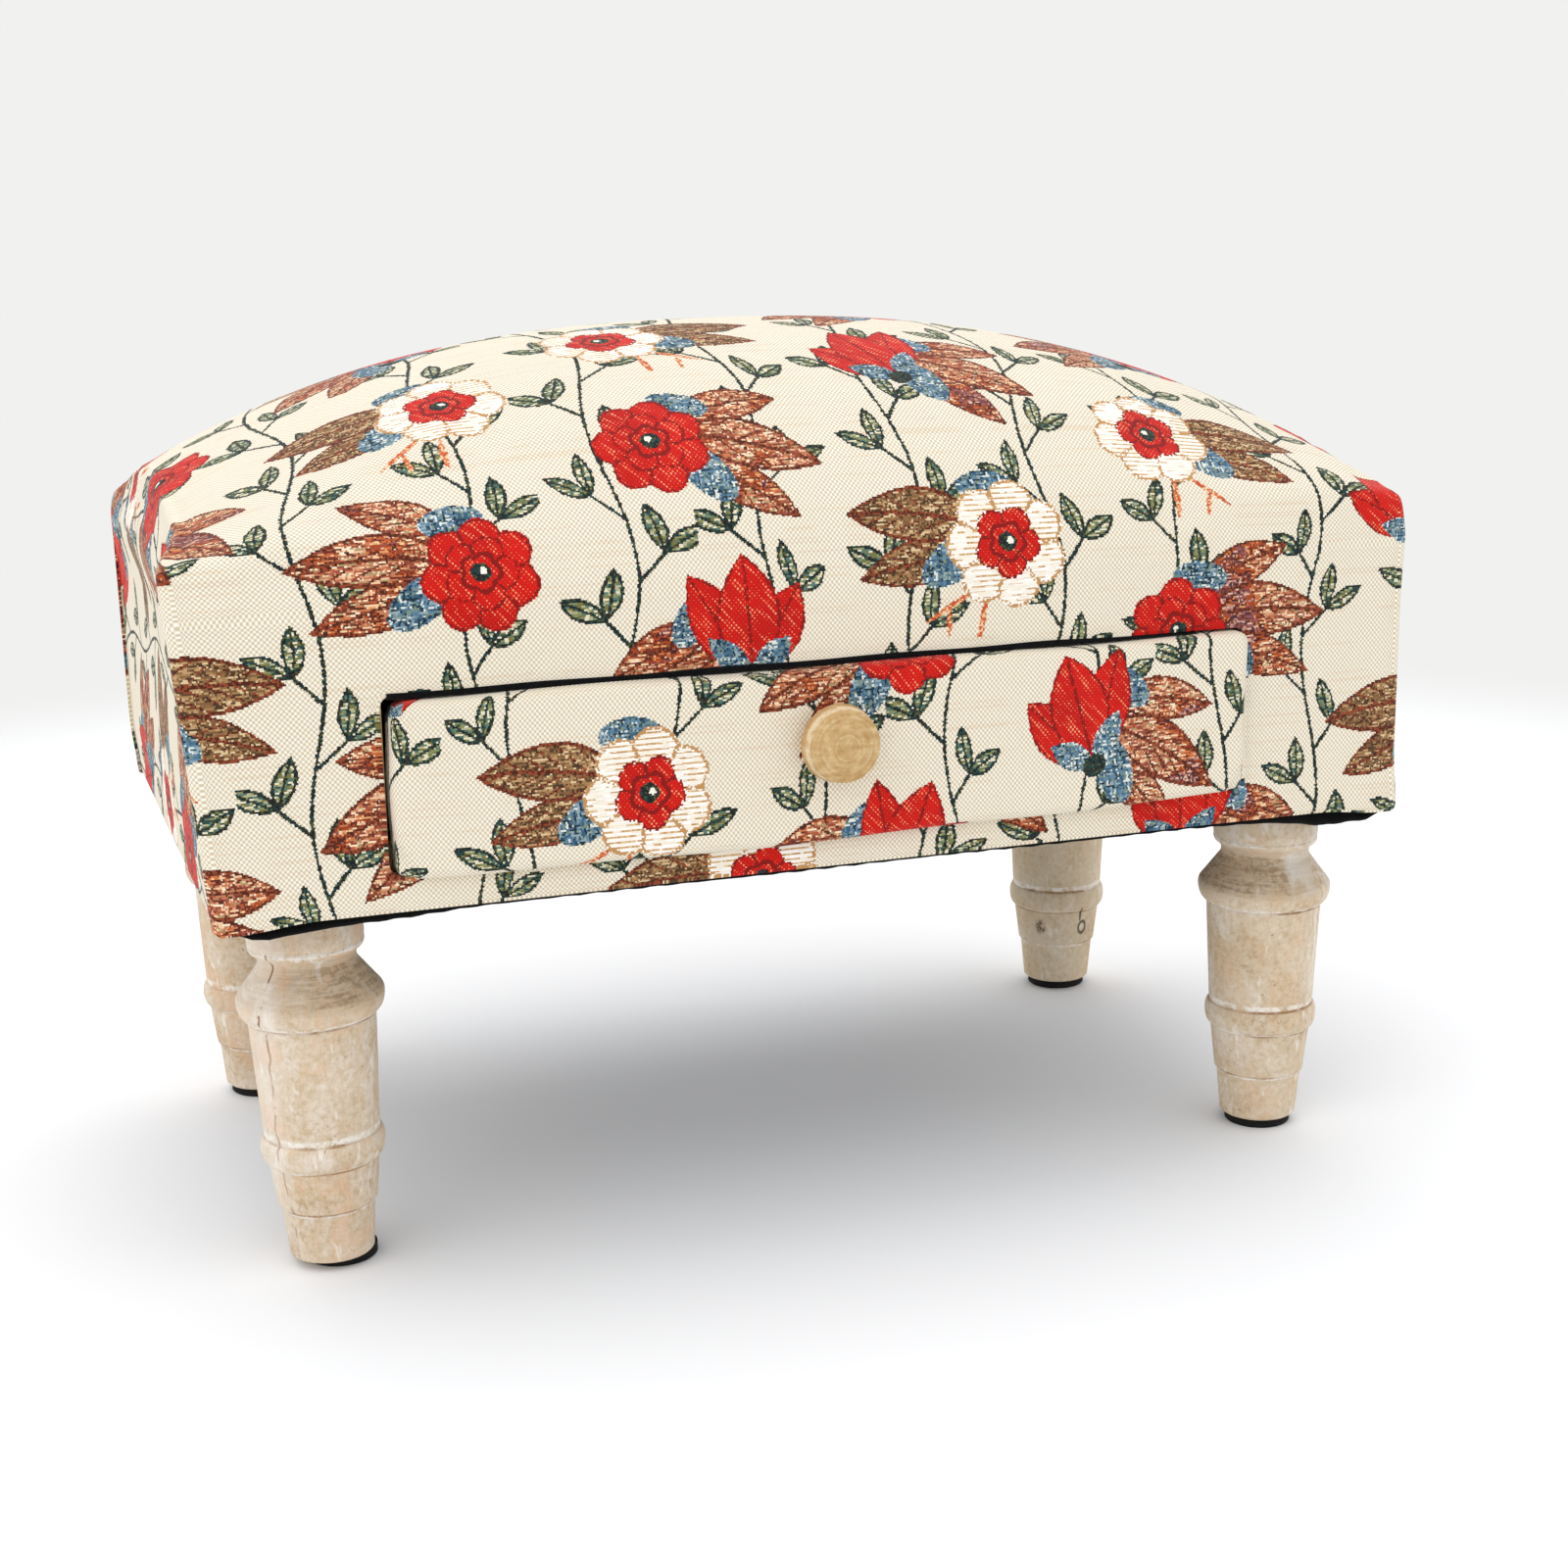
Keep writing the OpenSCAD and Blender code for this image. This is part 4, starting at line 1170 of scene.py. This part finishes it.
def make_drawer_front(cloth):
    """The drawer's front, wrapped in the same cloth with its corners folded."""
    low, high = FRONT_LOW, FRONT_HIGH
    skin = Skin("drawer_front_cloth")
    rim = [0, 0.9 * MM, 1.8 * MM]

    def lines(first, last):
        middle = spread(first + FRONT_EDGE_R, last - FRONT_EDGE_R, FRONT_PITCH)
        return [first + d for d in rim] + middle + [last - d for d in reversed(rim)]

    def face(first, second, point, out=(0, 0)):
        """A side of the plain block, with its cloth unfolded from the front."""
        plain = [[point(a, b) for b in second] for a in first]
        du, dv = FRONT_PATTERN
        skin.grid([[soften_front(p) for p in row] for row in plain],
                  [[((x + out[0] * (y - low.y)) / MM + du, (z + out[1] * (y - low.y)) / MM + dv)
                    for x, y, z in row] for row in plain])

    xs, zs = lines(low.x, high.x), lines(low.z, high.z)
    ys = [low.y + d for d in rim] + spread(low.y + FRONT_EDGE_R, high.y, FRONT_PITCH)
    face(xs, zs, lambda x, z: (x, low.y, z))
    face(xs, ys, lambda x, y: (x, y, high.z), (0, 1))
    face(xs, ys, lambda x, y: (x, y, low.z), (0, -1))
    face(ys, zs, lambda y, z: (low.x, y, z), (-1, 0))
    face(ys, zs, lambda y, z: (high.x, y, z), (1, 0))
    piece = give(skin.build(), cloth, "drawer")
    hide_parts("drawer_front_cover")


# The strip in the slot: its lower and upper edge above the drawer front, where it begins and ends,
# where it begins to thin out, and its true width and the width it is declared with
STRIP_LOW = 0.25 * MM
STRIP_HIGH = 2.05 * MM
STRIP_START = SLOT_LOW[0] + 1.5 * MM
STRIP_END = 122 * MM
STRIP_THIN = 60 * MM


def make_gap_shade_strip(material):
    """A black strip along the top of the drawer's slot, standing in for the shade in the gap above the
    drawer front; it thins out to the right.
    """
    skin = Skin("gap_shade_strip")
    face_y = COVER_LOW.y - 0.45 * MM
    rows = []
    for x in spread(STRIP_START, STRIP_END, 5 * MM):
        thin = smooth(x, STRIP_THIN, STRIP_END)
        uneven = 0.18 * MM * math.sin(x / MM / 9.0) * (1 - thin)
        low = FRONT_HIGH.z + STRIP_LOW + 0.4 * MM * thin
        high = FRONT_HIGH.z + STRIP_HIGH - 1.1 * MM * thin + uneven
        rows.append([Vector((x, face_y + 0.5 * MM, high)), Vector((x, face_y, high - 0.25 * MM)),
                     Vector((x, face_y, low)), Vector((x, face_y + 6 * MM, low))])
    skin.grid(rows, [[(p.x / MM, p.z / MM) for p in row] for row in rows], True)
    piece = give(skin.build(), material)


# The lining: how far it stays back from the box, the step of its mesh, rows near its front edge in
# millimetres, and the heights of its drooping front edge in millimetres at places along it
LINING_EDGE = 1.2 * MM
LINING_STEP = 6 * MM
LINING_ROWS = [0, 0.8, 2.4, 5, 9]
LINING_SAG = [(-199, 0.3), (-192, 1.4), (-190, 3.4), (-184, 3.8), (-178, 3.3), (-170, 2.6), (-160, 2.0),
              (-150, 1.8), (-140, 1.5), (-130, 0.9), (-120, 0.45), (-60, 0.35), (-20, 0.55), (30, 0.35),
              (70, 0.6), (120, 0.45), (140, 0.9), (150, 1.4), (160, 2.5), (171, 4.3), (183, 4.1),
              (190, 3.9), (193, 2.0), (199, 0.4)]


def make_lining(material):
    """The black cloth under the base, its cut edge hanging a little below the cover's edge."""
    skin = Skin("lining_cloth")
    length = 2 * HALF_Y - 2 * LINING_EDGE
    even = spread(LINING_STEP, 2 * HALF_Y - 18 * MM - 3 * LINING_EDGE, LINING_STEP)
    depths = [d * MM for d in LINING_ROWS + [LINING_ROWS[-1] + d / MM for d in even]]
    places, sags = zip(*LINING_SAG)
    rows = []
    for x in spread(-HALF_X + LINING_EDGE, HALF_X - LINING_EDGE, 2.5 * MM):
        sag = float(np.interp(x / MM, places, sags)) * MM
        ragged = 0.12 * MM * math.sin(x / MM * 1.9) + 0.1 * MM * math.sin(x / MM * 0.71 + 1)
        line = []
        for depth in depths + [length - 5 * MM, length]:
            drop = (sag + ragged) * (1 - smooth(depth, 0, 9 * MM))
            back = 0.8 * MM * (1 - smooth(length - depth, 0, 6 * MM))
            line.append(Vector((x, COVER_LOW.y + LINING_EDGE / 2 + depth,
                                LINING_HIGH.z - 0.15 * MM - drop - back)))
        rows.append(line)
    skin.grid(rows, [[(p.x / MM, p.y / MM) for p in row] for row in rows], True)
    piece = give(skin.build(), material)
    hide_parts("lining")


STAPLE_L = 10 * MM
STAPLE_W = 0.7 * MM
STAPLE_INSET = 7 * MM
STAPLE_START = 22 * MM
STAPLE_PITCH = 38 * MM


def make_staples(material):
    """The wire staples that hold the lining and the hem under the base board."""
    skin = Skin("lining_staples")
    out_x, out_y = HALF_X - STAPLE_INSET, HALF_Y - STAPLE_INSET
    spots = []
    for x in spread(-out_x + STAPLE_START, out_x - STAPLE_START, STAPLE_PITCH):
        spots += [(x, MID_Y - out_y, 0.1 * math.sin(x / MM)), (x, MID_Y + out_y, 0.12 * math.cos(x / MM))]
    for y in spread(MID_Y - out_y + STAPLE_START, MID_Y + out_y - STAPLE_START, STAPLE_PITCH):
        spots += [(-out_x, y, math.pi / 2 + 0.1), (out_x, y, math.pi / 2 - 0.08)]
    up = Vector((0, 0, STAPLE_W))
    for x, y, turn in spots:
        way = Vector((math.cos(turn), math.sin(turn), 0)) * STAPLE_L / 2
        across = Vector((-math.sin(turn), math.cos(turn), 0)) * STAPLE_W / 2
        middle = Vector((x, y, LINING_HIGH.z - 0.2 * MM))
        ring = [across, across - up, -across - up, -across, across]
        ends = [middle - way + up, middle - way * 0.94, middle + way * 0.94, middle + way + up]
        skin.grid([[end + r for r in ring] for end in ends])
    give(skin.build(), material)


# Camera, as the photograph was taken
LENS = 57.32
SENSOR_W = 36
EYE = Vector((-268.5, -824.4, 332.9)) * MM
YAW, PITCH, ROLL = -0.3302, 0.2382, -0.0159


def make_camera():
    data = bpy.data.cameras.new("camera")
    data.lens = LENS
    data.sensor_width = SENSOR_W
    data.clip_start = 10 * MM
    camera = in_scene("camera", data)
    spin = (Matrix.Rotation(YAW, 3, "Z") @ Matrix.Rotation(math.pi / 2 - PITCH, 3, "X")
            @ Matrix.Rotation(ROLL, 3, "Z"))
    camera.matrix_world = Matrix.Translation(EYE) @ spin.to_4x4()
    bpy.context.scene.camera = camera


# Lamps (place in metres, size and power), the point they light, and the even light around
LAMPS = {"key": ((-1.5, -0.8, 1.7), 2.0, 9), "top": ((0.1, 0.6, 2.4), 1.8, 14)}
LAMP_AIM = (0, 0, 0.15)
AMBIENT = ("#F7F9FC", 1.08)
BACKDROP = "#F1F1F0"
FLOOR_SIZE = 12.0
FLOOR_FADE = (0.55, 0.95)
FLOOR_COLOUR = "#F7F7F7"


def make_lamps():
    for name, (place, size, power) in LAMPS.items():
        data = bpy.data.lights.new(name, "AREA")
        data.size = size
        data.energy = power
        lamp = in_scene(name, data)
        lamp.location = place
        lamp.rotation_mode = "QUATERNION"
        lamp.rotation_quaternion = (Vector(LAMP_AIM) - Vector(place)).to_track_quat("-Z", "Y")


def make_floor():
    """A wide pale floor that fades into the background."""
    mesh = bpy.data.meshes.new("floor")
    corners = [(x * FLOOR_SIZE, y * FLOOR_SIZE, 0) for x, y in ((-1, -1), (1, -1), (1, 1), (-1, 1))]
    mesh.from_pydata(corners, [], [(0, 1, 2, 3)])
    floor = in_scene("floor", mesh)
    f = Finish("pale_floor", roughness=0.9, specular=0.0)
    f.colour(FLOOR_COLOUR)
    far = f.fit(f.length(f.place()), *FLOOR_FADE)
    clear = f.node("ShaderNodeBsdfTransparent")
    blended = f.node("ShaderNodeMixShader", None, [far, Wire(f, f.shader.outputs[0]), clear])
    f.plug(f.output.inputs[0], blended)
    mesh.materials.append(f.material)


def make_world():
    """Even studio light, with a plain backdrop for the rays that see it."""
    world = bpy.data.worlds.new("studio")
    bpy.context.scene.world = world
    n = Nodes(world)
    camera, glossy, through = [n.node("ShaderNodeLightPath", output=ray)
                               for ray in ("Is Camera Ray", "Is Glossy Ray", "Is Transmission Ray")]
    light = n.node("ShaderNodeBackground", None, AMBIENT)
    backdrop = n.node("ShaderNodeBackground", None, [BACKDROP])
    mixed = n.node("ShaderNodeMixShader", None, [camera | glossy | through, light, backdrop])
    n.plug(n.tree.nodes.new("ShaderNodeOutputWorld").inputs[0], mixed)


FINISHES = {
    "limed_wood": limed_wood, "knob_wood": turned_knob_wood, "box_board": raw_board,
    "drawer_wood": drawer_ply, "pad_rubber": black_rubber, "zinc_steel": zinc_steel,
    "foam": cut_foam, "woven_cloth": woven_cloth, "black_lining": black_lining_cloth,
}


def main():
    made = {slot: make() for slot, make in FINISHES.items()}
    for row in frame["record"]["subparts"]:
        node = frame["nodes"][row["node"]]
        node.data.materials.clear()
        node.data.materials.append(made[row["material_slot"]])
    make_camera()
    make_world()
    make_floor()
    make_lamps()
    make_cover(made["woven_cloth"])
    make_foam(made["foam"])
    make_drawer_front(made["woven_cloth"])
    # a black strip as painted shade in the gap above the drawer front
    make_gap_shade_strip(made["black_lining"])
    make_lining(made["black_lining"])
    make_staples(made["zinc_steel"])


main()
bpy.context.scene.view_settings.view_transform = "Standard"
